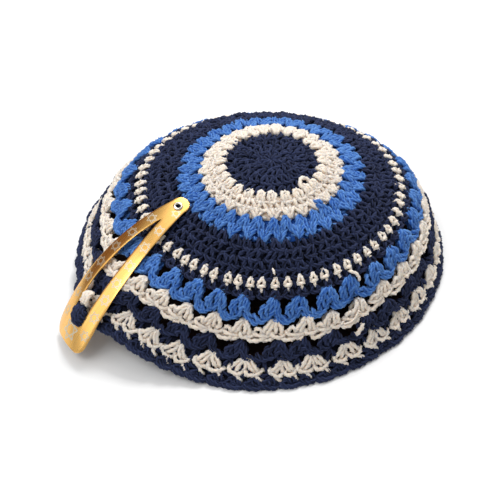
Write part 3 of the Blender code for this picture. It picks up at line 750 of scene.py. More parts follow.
@dataclass
class YarnBand:
    """A band of the cap in one colour, crocheted in rounds round a fleecy core.

    Args:
        node: the frame's node, whose place it takes.
        index: the band's number from the crown.
        tone: its colour.
        rounds: its rounds of stitches.
        open_work: whether it has gaps and so no core.
        core: the core's colour, or the band's own.
        core_depth: how deep the core's outer side lies.
    """

    node: str
    index: int
    tone: Tone
    rounds: tuple[Round, ...]
    open_work: bool = False
    core: Tone | None = None
    core_depth: float = 1.7 * MM

    LOOSE_ROUND = 0.06  # how unevenly the stitches lie: in pitches,
    LOOSE_DOWN = 0.04  # in shares of the round,
    LOOSE_LIFT = 0.15 * MM  # and outwards
    LOOSE_SIZE = 0.05  # how unevenly wide they are
    POINT_LOOSE = 0.45  # what share of that each point of a strand has by itself
    SUNK = 0.4 * MM  # so that the strands' crests stand as far out as the frame's rounds
    REST = 0.62  # of a strand's width, between its middle and the table
    # How much deeper they lie at the back, from BACK_FROM of the arc outwards and in full at BACK_FULL, and
    # how much more from the dotted round outwards
    BACK_SAG = 0.7 * MM
    BACK_DROP = 1.0 * MM
    BACK_DROP_INDEX = 4
    BACK_FROM = 0.35
    BACK_FULL = 0.62
    # How much deeper they lie at the far left, from LEFT_FROM of the arc outwards and in full LEFT_FADE
    # further. It fades on both sides of the azimuth LEFT_AT, as a power of the cosine.
    LEFT_SAG = 1.5 * MM
    LEFT_FROM = 0.78
    LEFT_FADE = 0.16
    LEFT_AT = math.radians(188)
    LEFT_POWER = 8
    CORE_THICK = 0.8 * MM
    CORE_FROM = 0.004  # the arc's share that the core leaves open at the crown
    CORE_COLUMNS = 180
    CORE_ROWS = 8

    def build(self, dome: Dome, finishes: list[bpy.types.Material]) -> bpy.types.Object:
        """Crochets the band.

        Args:
            dome: the surface.
            finishes: a material for each tone.

        Returns:
            The band's object.
        """
        yarn = YarnMesh(seed=100 + self.index)
        for each in self.rounds:
            self.work(yarn, dome, each)
        if not self.open_work:
            self.add_core(yarn, dome)
        return yarn.build(self.node + "_knit", finishes)

    def work(self, yarn: YarnMesh, dome: Dome, each: Round) -> None:
        """Works one round into the band's mesh.

        Args:
            yarn: the mesh.
            dome: the surface.
            each: the round.
        """
        top, bottom = dome.edges[self.index], dome.edges[self.index + 1]
        start = top + (bottom - top) * each.start
        depth = (bottom - top) * (each.end - each.start)
        pitch = 2 * math.pi / each.count
        middles = math.radians(each.at) + pitch * np.arange(each.count)
        random = yarn.random
        loose = (self.LOOSE_ROUND, self.LOOSE_DOWN, self.LOOSE_LIFT)
        shift = random.normal(0, 1, (each.count, 3)) * loose
        swell = 1 + random.normal(0, self.LOOSE_SIZE, (each.count, 1))
        for strand in each.stitch:
            way = np.array(strand.way)
            own = random.normal(0, self.POINT_LOOSE, (each.count, len(way), 3))
            own *= loose
            around = way[:, 0] * swell + each.slant * way[:, 1] + shift[:, :1] + own[:, :, 0]
            down = way[:, 1] + shift[:, 1:2] + own[:, :, 1]
            lift = way[:, 2] * MM - self.SUNK - each.sunk + shift[:, 2:] + own[:, :, 2]
            local = smooth_way(np.stack([around, down, lift], axis=-1))
            width = YARN_WIDTH * strand.gauge
            azimuth, share = middles[:, None] + pitch * local[:, :, 0], start + depth * local[:, :, 1]
            deep = local[:, :, 2] - self.sag(azimuth, share)
            points = dome.place(azimuth, share, deep, rest=self.REST * width)
            yarn.add(points, width, each.tone or self.tone)

    def sag(self, azimuth: np.ndarray, share: np.ndarray) -> np.ndarray:
        """How much deeper the yarn lies at the back of the cap and at its left edge.

        Args:
            azimuth: radians round the axis.
            share: of the arc from the crown to the rim.

        Returns:
            Metres for each place.
        """
        full = np.clip((share - self.BACK_FROM) / (self.BACK_FULL - self.BACK_FROM), 0, 1)
        amount = self.BACK_SAG + (self.BACK_DROP if self.index >= self.BACK_DROP_INDEX else 0)
        left = np.clip((share - self.LEFT_FROM) / self.LEFT_FADE, 0, 1)
        left = left * np.clip(np.cos(azimuth - self.LEFT_AT), 0, 1) ** self.LEFT_POWER
        return amount * full * np.clip(np.sin(azimuth), 0, 1) ** 2 + self.LEFT_SAG * left

    def add_core(self, yarn: YarnMesh, dome: Dome) -> None:
        """Adds the matted yarn deep in the fabric, which lets no light through. It takes the ply hollows'
        dark colour throughout, as painted shade.

        Args:
            yarn: the band's mesh.
            dome: the surface.
        """
        top, bottom = dome.edges[self.index], dome.edges[self.index + 1]
        shares = np.linspace(max(top, self.CORE_FROM), bottom, self.CORE_ROWS)
        azimuth = 2 * np.pi * np.arange(self.CORE_COLUMNS) / self.CORE_COLUMNS
        loop = [(s, -self.core_depth) for s in shares]
        loop += [(s, -self.core_depth - self.CORE_THICK) for s in shares[::-1]]
        share, lift = (np.array(v)[None, :] for v in zip(*loop))
        azimuth, share = azimuth[:, None], share + 0 * azimuth[:, None]
        points = dome.place(azimuth, share, lift - self.sag(azimuth, share))
        rows = points.shape[1]
        index = yarn.count + np.arange(points.shape[0] * rows).reshape(-1, rows)
        ahead = np.roll(index, -1, axis=0)
        quads = np.stack([index, np.roll(index, -1, axis=1), np.roll(ahead, -1, axis=1), ahead], axis=-1)
        yarn.faces.append(quads.reshape(-1, 4))
        yarn.tones.append(np.full(quads.size // 4, (self.core or self.tone).value))
        yarn.points.append(points.reshape(-1, 3))
        yarn.yarn.append(points.reshape(-1, 3) / MM)
        yarn.tint.append(np.zeros(points.size // 3))
        # Crest 0 all over: the core is painted in the hollows' shade colour
        yarn.crest.append(np.zeros(points.size // 3))
        yarn.count += points.size // 3


PITCH = 360 / CLUSTERS  # degrees
BANDS = (
    YarnBand("centre_rounds", 0, Tone.NAVY, (
        Round(SINGLE, 0.05, 0.28, 6, slant=0.5),
        Round(SINGLE, 0.25, 0.52, 13, slant=-0.35),
        Round(SINGLE, 0.50, 0.77, 19, slant=0.4),
        Round(SINGLE, 0.75, 1.02, 25, slant=-0.2, sunk=0.4 * MM),
    )),
    YarnBand("cream_rounds", 1, Tone.CREAM, (
        Round(ARCH, -0.06, 0.44, 27, slant=0.08),
        Round(SINGLE, 0.32, 0.72, 32, slant=0.3),
        Round(VEE, 0.58, 0.98, 29, slant=0.05),
    ), core_depth=1.1 * MM),
    YarnBand("blue_rounds", 2, Tone.BLUE, (
        Round(PEAK, -0.06, 0.54, 35),
        Round(VEE, 0.42, 1.0, 35, at=-90.0 + 180 / 35),
    )),
    YarnBand("navy_band", 3, Tone.NAVY, (
        Round(SINGLE, -0.05, 0.30, 46, slant=0.35),
        Round(SINGLE, 0.24, 0.56, 50, slant=-0.3),
        Round(SINGLE, 0.50, 0.80, 54, slant=0.3),
        Round(SINGLE, 0.74, 1.0, 60, slant=-0.2, sunk=0.35 * MM),
    )),
    YarnBand("dotted_round", 4, Tone.NAVY, (
        Round(BETWEEN, 0.0, 1.0, 66, at=-88.0 + PITCH / 4),
        Round(DOT, 0.02, 1.0, 66, at=-88.0, tone=Tone.CREAM),
    )),
    YarnBand("navy_round", 5, Tone.NAVY, (
        Round(SINGLE, 0.08, 1.0, 66, at=-88.0, slant=0.1, sunk=0.45 * MM),
    )),
    YarnBand("blue_clusters", 6, Tone.BLUE, (
        Round(CLUSTER, 0.0, 0.97, CLUSTERS, at=-89.2),
    ), open_work=True),
    YarnBand("cream_clusters", 7, Tone.CREAM, (
        Round(PAIR, 0.0, 0.97, CLUSTERS, at=-88.0),
    ), open_work=True),
    YarnBand("navy_clusters", 8, Tone.NAVY, (
        Round(CLUSTER, 0.0, 1.0, CLUSTERS, at=-87.8),
    ), open_work=True),
    YarnBand("outer_cream_round", 9, Tone.CREAM, (
        Round(OUTER_PAIR, 0.0, 1.0, CLUSTERS, at=-84.4),
        Round(SINGLE, 0.1, 1.0, 66, at=-84.4, tone=Tone.NAVY, sunk=0.5 * MM),
    ), core=Tone.NAVY),
    YarnBand("rim_rounds", 10, Tone.NAVY, (
        Round(RIM_STITCH, 0.04, 0.97, 66, at=-84.4 + PITCH / 4),
    )),
)


@dataclass(frozen=True)
class Tail:
    """A yarn end left outside where the colours join.

    Args:
        way: points along it, as (degrees round the cap, share of its arc, mm above the wall).
        tone: its colour.
        gauge: its thickness against the yarn's.
    """

    way: tuple[tuple[float, float, float], ...]
    tone: Tone
    gauge: float = 1.0

    def work(self, yarn: YarnMesh, dome: Dome) -> None:
        """Lays it on the cap.

        Args:
            yarn: the mesh that it goes in.
            dome: the surface.
        """
        azimuth, share, lift = np.array(self.way).T
        points = dome.place(np.radians(azimuth), share, lift * MM)
        yarn.add(smooth_way(points[None]), YARN_WIDTH * self.gauge, self.tone)


TAILS = (
    Tail(((-38, 0.19, -0.6), (-39, 0.172, 0.5), (-44, 0.164, 0.9), (-50, 0.172, 0.9), (-54, 0.192, 0.8),
          (-53, 0.206, 0.5), (-50, 0.206, -0.5)), Tone.CREAM),
    Tail(((-52, 0.272, -0.6), (-50.5, 0.28, 0.7), (-48.5, 0.292, 0.7),
          (-47, 0.302, -0.6)), Tone.BLUE, 1.3),
    Tail(((-53, 0.29, -0.6), (-51.5, 0.296, 0.5), (-49, 0.306, 0.5), (-48, 0.316, -0.6)), Tone.BLUE, 1.2),
    Tail(((-56, 0.596, -0.5), (-55, 0.608, 0.8), (-54, 0.62, 0.9), (-53, 0.64, 0.4),
          (-53, 0.66, -0.6)), Tone.CREAM, 0.8),
    Tail(((-63, 0.792, 0.2), (-60, 0.79, 1.1), (-58, 0.776, 1.5), (-57, 0.762, 1.6),
          (-56.4, 0.77, 1.8)), Tone.CREAM, 0.5),
    Tail(((-59, 0.858, -0.4), (-58, 0.848, 0.7), (-56.5, 0.832, 0.9),
          (-55.5, 0.822, 0.0)), Tone.CREAM, 1.1),
    Tail(((-89.5, 0.51, -0.2), (-89.2, 0.518, 0.7), (-88.6, 0.528, 0.8),
          (-88.2, 0.538, 0.2)), Tone.CREAM, 0.6),
)


@dataclass
class Clip:
    """The snap clip: a stamped sheet, bowed, crowned and slightly twisted, as the frame has it.

    Args:
        axis: a point on the crown's upright axis.
    """

    axis: Vector
    length: float = 66.6 * MM
    bend: float = 73.5 * MM
    crown: float = 30.0 * MM
    sheet: float = 0.5 * MM
    leg_width: float = 4.4 * MM
    leg_widens: float = 2.0 * MM
    leg_spread: float = 6.9 * MM
    leg_bow: float = 1.1 * MM
    tip_round: float = 3.2 * MM
    corner_round: float = 4.7 * MM  # of the wide end's corner away from the cap
    corner_tight: float = 3.7 * MM  # and of the other one
    plate_length: float = 8.5 * MM
    eyelet_from_tip: float = 4.2 * MM
    eyelet_bore: float = 1.5 * MM
    eyelet_tube: float = 2.1 * MM
    eyelet_flange: float = 3.4 * MM
    eyelet_play: float = 0.3 * MM
    # From the crown's axis along X and Y, as shares of RIM_RADIUS, and up, as one of CROWN_HEIGHT
    tip_place: tuple[float, float, float] = (-0.43042, -0.19770, 0.83647)
    heading: float = math.radians(-139.8)
    slope: float = math.radians(4.976)
    roll: float = math.radians(14.5)
    twist: float = math.radians(-29.1)
    slit_half: float = 0.13 * MM  # half of the slit's width where it starts
    notch_round: float = 1.6 * MM
    rim_turn: float = 0.08 * MM  # the rounding of the sheet's edges
    print_rise: float = 0.03 * MM

    # The sheet's grid: columns across a leg and between the legs, then rows from the tip on
    LEG_COLUMNS = 6
    MIDDLE_COLUMNS = 4
    TIP_ROWS = 8
    TIP_START = 0.6  # of a row's step, so that the tip isn't a point
    NECK_ROWS = 10
    LEG_ROWS = 96
    NOTCH_ROWS = 5
    PLATE_ROWS = 6
    CORNER_ROWS = 14
    HAIR = 0.01 * MM  # a row this close to the notch is past the slit
    SLIT_STEP = 0.1  # mm, how finely the slit's start is looked for
    INNER_MOST = 0.7  # of the outline's half width, which the slit never passes
    EDGE_ANGLE = math.radians(50)  # sharper edges are rounded, and the next angle's stay crisp
    CRISP_ANGLE = math.radians(42)
    TURNED_SIDES = 40
    HOLE_PLAY = 0.05 * MM
    AXIS = 0.001 * MM  # a turned outline's nearest to its axis
    ROLL_RISE = 0.52 * MM  # the eyelet's rolled flange, and how far off the sheet it starts
    ROLL_STEPS = 12
    ROLL_OFF = 0.02 * MM
    FOOT_IN = 0.1 * MM  # its lower flange: how much narrower it is, and how thick
    FOOT_DEEP = 0.2 * MM
    PRINT_SHARE = 0.068  # a printed line's width, as a share of its star
    PRINT_MARGIN = 0.22 * MM
    PRINT_SUNK = 0.4  # of its rise
    PRINT_STEPS = 14
    BULGE_GAUGE = 1.15
    # The cap's yarn that bulges through the slit: past the notch, across and above the sheet, in mm
    BULGE = (
        (Tone.NAVY, ((-6.2, -0.2, -1.2), (-5.5, -0.5, 0.2), (-4.7, -1.3, 0.8), (-4.3, -2.4, 0.8),
                     (-4.5, -3.4, -0.5))),
        (Tone.NAVY, ((-5.6, 3.0, -1.0), (-3.4, 2.3, 0.6), (-1.6, 1.3, 1.0), (-0.5, -0.2, 1.1),
                     (0.0, -1.7, 1.0), (-0.3, -3.2, 0.4), (-0.6, -4.0, -0.9))),
        (Tone.NAVY, ((-6.0, 1.7, -1.0), (-4.2, 1.4, 0.6), (-2.7, 0.5, 1.2), (-1.6, -0.7, 1.3),
                     (-1.4, -2.1, 1.1), (-1.7, -3.2, 0.4), (-2.0, -4.0, -0.9))),
        (Tone.NAVY, ((-6.2, 0.7, -1.0), (-4.8, 0.4, 0.6), (-3.5, -0.5, 1.1), (-2.8, -1.8, 1.2),
                     (-2.9, -3.0, 0.7), (-3.3, -3.8, -0.6))),
        (Tone.CREAM, ((-11.0, 3.4, -1.6), (-9.8, 2.9, -0.3), (-8.3, 2.4, 0.2), (-6.8, 2.1, 0.0),
                      (-5.6, 2.2, -1.2))),
        (Tone.CREAM, ((-11.4, 2.0, -1.6), (-10.2, 1.5, 0.0), (-8.6, 1.0, 0.4), (-7.0, 0.7, 0.3),
                      (-5.9, 0.9, -1.0))),
        (Tone.CREAM, ((-11.6, 0.6, -1.4), (-10.3, 0.2, 0.1), (-8.8, -0.3, 0.5), (-7.4, -0.8, 0.4),
                      (-6.4, -0.9, -0.8))),
    )
    # Six-pointed stars: along from the tip and across in mm, across their points, and degrees turned
    STARS = (
        (6.6, -1.9, 3.6, 10), (15.3, -3.2, 4.0, 20), (23.0, -4.3, 4.1, 5), (31.2, -5.2, 4.2, 25),
        (38.6, -5.9, 4.2, 10), (45.5, -6.5, 4.3, 0), (52.5, -7.0, 4.3, 20), (59.6, -7.7, 4.0, 8),
        (13.8, 2.6, 3.9, 15), (21.9, 3.8, 4.0, 0), (29.2, 4.9, 4.0, 20), (36.5, 5.8, 4.1, 8),
        (43.2, 6.4, 4.1, 25), (50.1, 6.7, 4.1, 5), (57.9, 7.2, 4.1, 15), (61.7, -0.3, 7.9, 4),
    )

    def __post_init__(self) -> None:
        """Works out where the tip is and which ways the sheet runs and faces there."""
        ahead = Vector((math.cos(self.heading), math.sin(self.heading), 0))
        x, y, z = self.tip_place
        self.tip = Vector((x * RIM_RADIUS + self.axis.x, y * RIM_RADIUS + self.axis.y, z * CROWN_HEIGHT))
        self.forward = ahead * math.cos(self.slope) - Vector((0, 0, math.sin(self.slope)))
        self.side = Vector((math.sin(self.heading), -math.cos(self.heading), 0))
        self.up = self.side.cross(self.forward)
        if self.up.z < 0:
            self.up.negate()
        self.notch_at = self.length - self.plate_length

    def axes(self, along: float) -> tuple[Vector, Vector, Vector]:
        """The sheet's middle line.

        Args:
            along: metres from the tip.

        Returns:
            The line's place there, and the sheet's side and up.
        """
        bend = along / self.bend
        place = self.tip + self.bend * (math.sin(bend) * self.forward - (1 - math.cos(bend)) * self.up)
        up = math.cos(bend) * self.up + math.sin(bend) * self.forward
        turn = self.roll + self.twist * along / self.length
        side = math.cos(turn) * self.side + math.sin(turn) * up
        return place, side, math.cos(turn) * up - math.sin(turn) * self.side

    def point(self, along: float, across: float, lift: float) -> Vector:
        """A point of the sheet.

        Args:
            along: metres from the tip.
            across: metres from the middle line.
            lift: metres above the sheet's middle.

        Returns:
            The point.
        """
        place, side, up = self.axes(along)
        turn = across / self.crown
        radius = self.crown + lift
        return place + radius * math.sin(turn) * side + (radius * math.cos(turn) - self.crown) * up

    def add_bulge(self, yarn: YarnMesh) -> None:
        """Lays the cap's yarn over the notch's edge.

        Args:
            yarn: the mesh that it goes in.
        """
        for tone, way in self.BULGE:
            points = [self.point(self.notch_at + a * MM, b * MM, c * MM) for a, b, c in way]
            yarn.add(smooth_way(np.array(points)[None]), YARN_WIDTH * self.BULGE_GAUGE, tone)

    def down_legs(self, along: float) -> float:
        """How far down the legs a place is, from 0 at the eyelet to 1 at the notch."""
        return min(max((along - self.eyelet_from_tip) / (self.notch_at - self.eyelet_from_tip), 0), 1)

    def leg_offset(self, along: float) -> float:
        """From the clip's middle line to a leg's.

        Args:
            along: metres from the tip.

        Returns:
            Metres.
        """
        t = self.down_legs(along)
        start = self.tip_round - self.leg_width / 2
        return start + (self.leg_spread - start) * t + self.leg_bow * math.sin(math.pi * t)

    def leg_half(self, along: float) -> float:
        """Half of a leg's width."""
        return (self.leg_width + self.leg_widens * self.down_legs(along) ** 3) / 2

    def outline_half(self, along: float, across: float) -> float:
        """From the middle line to the sheet's outer edge, with its round tip and wide end.

        Args:
            along: metres from the tip.
            across: metres from the middle line, whose sign says which side.

        Returns:
            Metres.
        """
        if along < self.tip_round:
            return math.sqrt(max(self.tip_round**2 - (self.tip_round - along) ** 2, 0.0))
        half = self.leg_offset(along) + self.leg_half(along)
        left = max(self.length - along, 0.0)
        corner = self.corner_round if across > 0 else self.corner_tight
        if left < corner:
            half -= corner - math.sqrt(corner**2 - (corner - left) ** 2)
        return half

    def inner_half(self, along: float) -> float:
        """From the middle line to a leg's inner edge, with the notch's round corners.

        Args:
            along: metres from the tip.

        Returns:
            Metres.
        """
        inner = max(self.leg_offset(along) - self.leg_half(along), self.slit_half)
        left = self.notch_at - along
        if left < self.notch_round:
            left = max(left, 0.0)
            inner -= self.notch_round - math.sqrt(self.notch_round**2 - (self.notch_round - left) ** 2)
        return min(inner, self.INNER_MOST * self.outline_half(along, 1))

    def slit_from(self) -> float:
        """Where the legs part."""
        steps = (i * self.SLIT_STEP * MM for i in range(int(self.length / (self.SLIT_STEP * MM))))
        return next(s for s in steps if self.leg_offset(s) - self.leg_half(s) > self.slit_half)

    def build_frame(self, finish: bpy.types.Material) -> bpy.types.Object:
        """Stamps the sheet: tip plate, two legs and the wide end.

        Args:
            finish: its plated steel.

        Returns:
            The sheet's object.
        """
        slit = self.slit_from()
        turn = [math.pi / 2 * (i + self.TIP_START) / self.TIP_ROWS for i in range(self.TIP_ROWS)]
        rows = [self.tip_round * (1 - math.cos(t)) for t in turn]
        rows += list(np.linspace(self.tip_round, slit, self.NECK_ROWS)[1:])
        rows += list(np.linspace(slit, self.notch_at - self.notch_round, self.LEG_ROWS)[1:])
        rows += self.rounding_rows(self.notch_at, self.notch_round, self.NOTCH_ROWS)
        rows += list(np.linspace(self.notch_at, self.length - self.corner_round, self.PLATE_ROWS)[1:])
        rows += self.rounding_rows(self.length, self.corner_round, self.CORNER_ROWS)
        bm = bmesh.new()
        sheet = bm.verts.layers.float_vector.new("sheet")
        legs, middle = self.LEG_COLUMNS, self.MIDDLE_COLUMNS
        skins = []
        for lift in (self.sheet / 2, -self.sheet / 2):
            skin = []
            for along in rows:
                inner = self.inner_half(along)
                far, near = self.outline_half(along, -1), self.outline_half(along, 1)
                stations = [-far + (far - inner) * i / legs for i in range(legs)]
                stations += [-inner + 2 * inner * i / middle for i in range(middle)]
                stations += [inner + (near - inner) * i / legs for i in range(legs + 1)]
                row = [bm.verts.new(self.point(along, across, lift)) for across in stations]
                for vert, across in zip(row, stations):
                    vert[sheet] = (along, across, lift)
                skin.append(row)
            skins.append(skin)
        columns = 2 * legs + middle

        def solid(i: int, j: int) -> bool:
            """Whether a cell of the grid is metal."""
            in_slit = legs <= j < legs + middle and slit <= rows[max(i, 0)] < self.notch_at - self.HAIR
            return 0 <= i < len(rows) - 1 and 0 <= j < columns and not in_slit

        for i in range(len(rows) - 1):
            for j in range(columns):
                if not solid(i, j):
                    continue
                corners = ((i, j), (i, j + 1), (i + 1, j + 1), (i + 1, j))
                for skin in skins:
                    bm.faces.new([skin[a][b] for a, b in corners])
                for n, cell in enumerate(((i - 1, j), (i, j + 1), (i + 1, j), (i, j - 1))):
                    if not solid(*cell):
                        (a, b), (c, d) = corners[n], corners[(n + 1) % 4]
                        bm.faces.new((skins[0][a][b], skins[0][c][d], skins[1][c][d], skins[1][a][b]))
        bmesh.ops.delete(bm, geom=[v for v in bm.verts if not v.link_faces], context="VERTS")
        bmesh.ops.recalc_face_normals(bm, faces=bm.faces)
        sharp = [e for e in bm.edges if len(e.link_faces) == 2 and e.calc_face_angle() > self.EDGE_ANGLE]
        bmesh.ops.bevel(bm, geom=sharp, offset=self.rim_turn, segments=2, profile=0.5, affect="EDGES")
        made = self.finish_mesh("clip_frame_sheet", bm, finish)
        self.cut_hole(made)
        return made

    def rounding_rows(self, end: float, radius: float, count: int) -> list[float]:
        """Distances from the tip at which a round corner's rows lie, closer together towards its end."""
        return [end - radius * (1 - math.sin(math.pi / 2 * i / count)) for i in range(1, count + 1)]

    def finish_mesh(self, name: str, bm: bmesh.types.BMesh, finish: bpy.types.Material) -> bpy.types.Object:
        """Makes an object of a mesh, smooth but for its sharp edges.

        Args:
            name: the piece's name.
            bm: the mesh, which is freed.
            finish: its metal.

        Returns:
            The object.
        """
        mesh = bpy.data.meshes.new(name)
        bm.to_mesh(mesh)
        bm.free()
        mesh.materials.append(finish)
        mesh.shade_smooth()
        mesh.set_sharp_from_angle(angle=self.CRISP_ANGLE)
        return link_object(name, mesh)

    def turned(
        self, name: str, outline: list[tuple[float, float]], finish: bpy.types.Material
    ) -> bpy.types.Object:
        """Turns a closed outline about the eyelet's axis.

        Args:
            name: the piece's name.
            outline: radius and height above the sheet's middle, round the section.
            finish: its metal.

        Returns:
            The turned object.
        """
        place, side, up = self.axes(self.eyelet_from_tip)
        ahead = up.cross(side)
        bm = bmesh.new()
        sheet = bm.verts.layers.float_vector.new("sheet")
        rings = []
        sides = self.TURNED_SIDES
        for radius, height in outline:
            ring = []
            for i in range(sides):
                angle = 2 * math.pi * i / sides
                ring.append(bm.verts.new(
                    place + height * up + radius * (math.cos(angle) * side + math.sin(angle) * ahead)
                ))
                ring[-1][sheet] = (radius * angle, height, 0)
            rings.append(ring)
        for first, second in zip(rings, rings[1:] + rings[:1]):
            for i in range(sides):
                j = (i + 1) % sides
                bm.faces.new((first[i], first[j], second[j], second[i]))
        bmesh.ops.recalc_face_normals(bm, faces=bm.faces)
        return self.finish_mesh(name, bm, finish)

    def cut_hole(self, sheet: bpy.types.Object) -> None:
        """Punches the hole that the eyelet stands in.

        Args:
            sheet: the stamped sheet.
        """
        radius = self.eyelet_tube / 2 + self.HOLE_PLAY
        deep = 2 * self.sheet
        punch = [(self.AXIS, deep), (radius, deep), (radius, -deep), (self.AXIS, -deep)]
        cutter = self.turned("punch", punch, sheet.data.materials[0])
        cut = sheet.modifiers.new("eyelet_hole", "BOOLEAN")
        cut.operation = "DIFFERENCE"
        cut.solver = "EXACT"
        cut.object = cutter
        graph = bpy.context.evaluated_depsgraph_get()
        punched = bpy.data.meshes.new_from_object(sheet.evaluated_get(graph))
        sheet.modifiers.clear()
        sheet.data = punched
        bpy.data.objects.remove(cutter)

    def build_eyelet(self, finish: bpy.types.Material) -> bpy.types.Object:
        """Turns the hollow rivet, its upper flange rolled over.

        Args:
            finish: its plated metal.

        Returns:
            The eyelet's object.
        """
        bore, tube, flange = self.eyelet_bore / 2, self.eyelet_tube / 2, self.eyelet_flange / 2
        under = self.sheet / 2 + self.ROLL_OFF
        middle, reach = (bore + flange) / 2, (flange - bore) / 2
        turns = [math.pi * (1 - i / self.ROLL_STEPS) for i in range(self.ROLL_STEPS + 1)]
        roll = [(middle + reach * math.cos(t), under + self.ROLL_RISE * math.sin(t)) for t in turns]
        brim, foot_at = flange - self.FOOT_IN, -under - self.FOOT_DEEP
        foot = [(tube, under), (tube, -under), (brim, -under), (brim, foot_at), (bore, foot_at)]
        return self.turned("clip_eyelet_rolled", roll + foot, finish)

    def build_print(self, finish: bpy.types.Material) -> bpy.types.Object:
        """Prints the open six-pointed stars, cut off where a leg ends.

        Args:
            finish: the foil.

        Returns:
            One object that holds all their lines.
        """
        bm = bmesh.new()
        sheet = bm.verts.layers.float_vector.new("sheet")
        for along, across, size, turned in self.STARS:
            middle = np.array((along, across)) * MM
            angles = [math.radians(turned + 60 * corner) for corner in range(8)]
            tips = [middle + size / 2 * MM * np.array((math.cos(a), math.sin(a))) for a in angles]
            for first in range(6):
                self.add_line(bm, sheet, tips[first], tips[first + 2], self.PRINT_SHARE * size * MM)
        loose = [v for v in bm.verts if len(v.link_faces) < 3]
        bmesh.ops.delete(bm, geom=loose, context="VERTS")
        bmesh.ops.recalc_face_normals(bm, faces=bm.faces)
        return self.finish_mesh("clip_star_print", bm, finish)

    def add_line(
        self, bm: bmesh.types.BMesh, sheet: bmesh.types.BMLayerItem, start: np.ndarray, end: np.ndarray,
        width: float,
    ) -> None:
        """Prints a straight line where there is metal under it.

        Args:
            bm: the print's mesh.
            sheet: its layer of places on the sheet.
            start: the line's start, along and across the sheet.
            end: its end.
            width: its width.
        """
        run = end - start
        normal = np.array((-run[1], run[0])) / np.linalg.norm(run) * width / 2
        before = None
        for i in range(self.PRINT_STEPS + 1):
            at = start + run * i / self.PRINT_STEPS
            if not self.on_metal(*at, width / 2):
                self.close_strip(bm, before)
                before = None
                continue
            ring = []
            for edge, lift in ((-1, 0), (1, 0), (1, 1), (-1, 1)):
                spot = at + edge * normal
                height = self.sheet / 2 + (lift - self.PRINT_SUNK) * self.print_rise
                ring.append(bm.verts.new(self.point(spot[0], spot[1], height)))
                ring[-1][sheet] = (spot[0], spot[1], 0)
            if before is None:
                bm.faces.new(ring)
            else:
                for k in range(4):
                    m = (k + 1) % 4
                    bm.faces.new((before[k], before[m], ring[m], ring[k]))
            before = ring
        self.close_strip(bm, before)

    def close_strip(self, bm: bmesh.types.BMesh, ring: list[bmesh.types.BMVert] | None) -> None:
        """Caps a printed line at its end."""
        if ring is not None:
            bm.faces.new(ring[::-1])

    def on_metal(self, along: float, across: float, reach: float) -> bool:
        """Whether a spot is on the sheet, clear of its edges, its slit and its eyelet.

        Args:
            along: metres from the tip.
            across: metres from the middle line.
            reach: how far round the spot the print goes.

        Returns:
            True where it may be printed.
        """
        margin = self.PRINT_MARGIN + reach
        inside = margin < along < self.length - margin
        if not inside or abs(across) > self.outline_half(along, across) - margin:
            return False
        if math.hypot(along - self.eyelet_from_tip, across) < self.eyelet_flange / 2 + margin:
            return False
        in_legs = self.slit_from() - margin < along < self.notch_at + margin
        return not in_legs or abs(across) > self.inner_half(along) + margin


FLOOR_HALF = 3.0  # metres
SHADE_SHEET_SHARE = 0.93  # of the arc, where the edge of the dark sheet of painted shade is
SHADE_SHEET_IN = 5 * MM  # inside the wall there
SHADE_SHEET_UP = 0.3 * MM  # above the floor
SHADE_SHEET_POINTS = 96
WORLD_STRENGTH = 0.42
# The lights: name, place in metres, width, height and watts
LIGHTS = (
    ("side_card", (-0.757, -0.12, 0.643), 0.5, 1.0, 1.8),
    ("overhead", (-0.02, 0.16, 1.0), 0.45, 0.45, 0.55),
    ("back", (0.18, 0.50, 0.76), 0.40, 0.40, 5.6),
    ("front", (-0.34, -0.36, 0.86), 0.40, 0.40, 1.9),
)
CARD_HALF = (0.3, 0.42)  # half its width and height
CARD_PLACE = (-0.63, 0.42, 0.41)
CAMERA_PLACE = (-2.646 * MM, -361.527 * MM, 344.59 * MM)
CAMERA_DOWN = 43.49  # degrees below level
FOCAL_PIXELS = 1339.17
PHOTO_PIXELS = 500
SENSOR = 36.0


def flat_corners(wide: float, high: float) -> np.ndarray:
    """The corners of a flat rectangle round the origin, from half its width and half its height."""
    return np.array([(-wide, -high, 0), (wide, -high, 0), (wide, high, 0), (-wide, high, 0)])


def add_stage(
    name: str, corners: np.ndarray, finish: str, colour: str, roughness: float
) -> bpy.types.Object:
    """Makes one flat thing of the stage.

    Args:
        name: its name.
        corners: its points, in order round it.
        finish: its material's name.
        colour: its sRGB colour.
        roughness: its roughness.

    Returns:
        The object.
    """
    mesh = bpy.data.meshes.new(name)
    mesh.from_pydata(corners.tolist(), [], [tuple(range(len(corners)))])
    thing = link_object(name, mesh)
    made, _, shader = start_material(finish)
    shader.inputs["Base Color"].default_value = linear(colour)
    shader.inputs["Roughness"].default_value = roughness
    mesh.materials.append(made)
    return thing


def aim(thing: bpy.types.Object, place: tuple[float, float, float]) -> None:
    """Stands a light or a card at a place, turned to the cap."""
    thing.location = place
    thing.rotation_euler = (-Vector(place)).to_track_quat("-Z", "Y").to_euler()


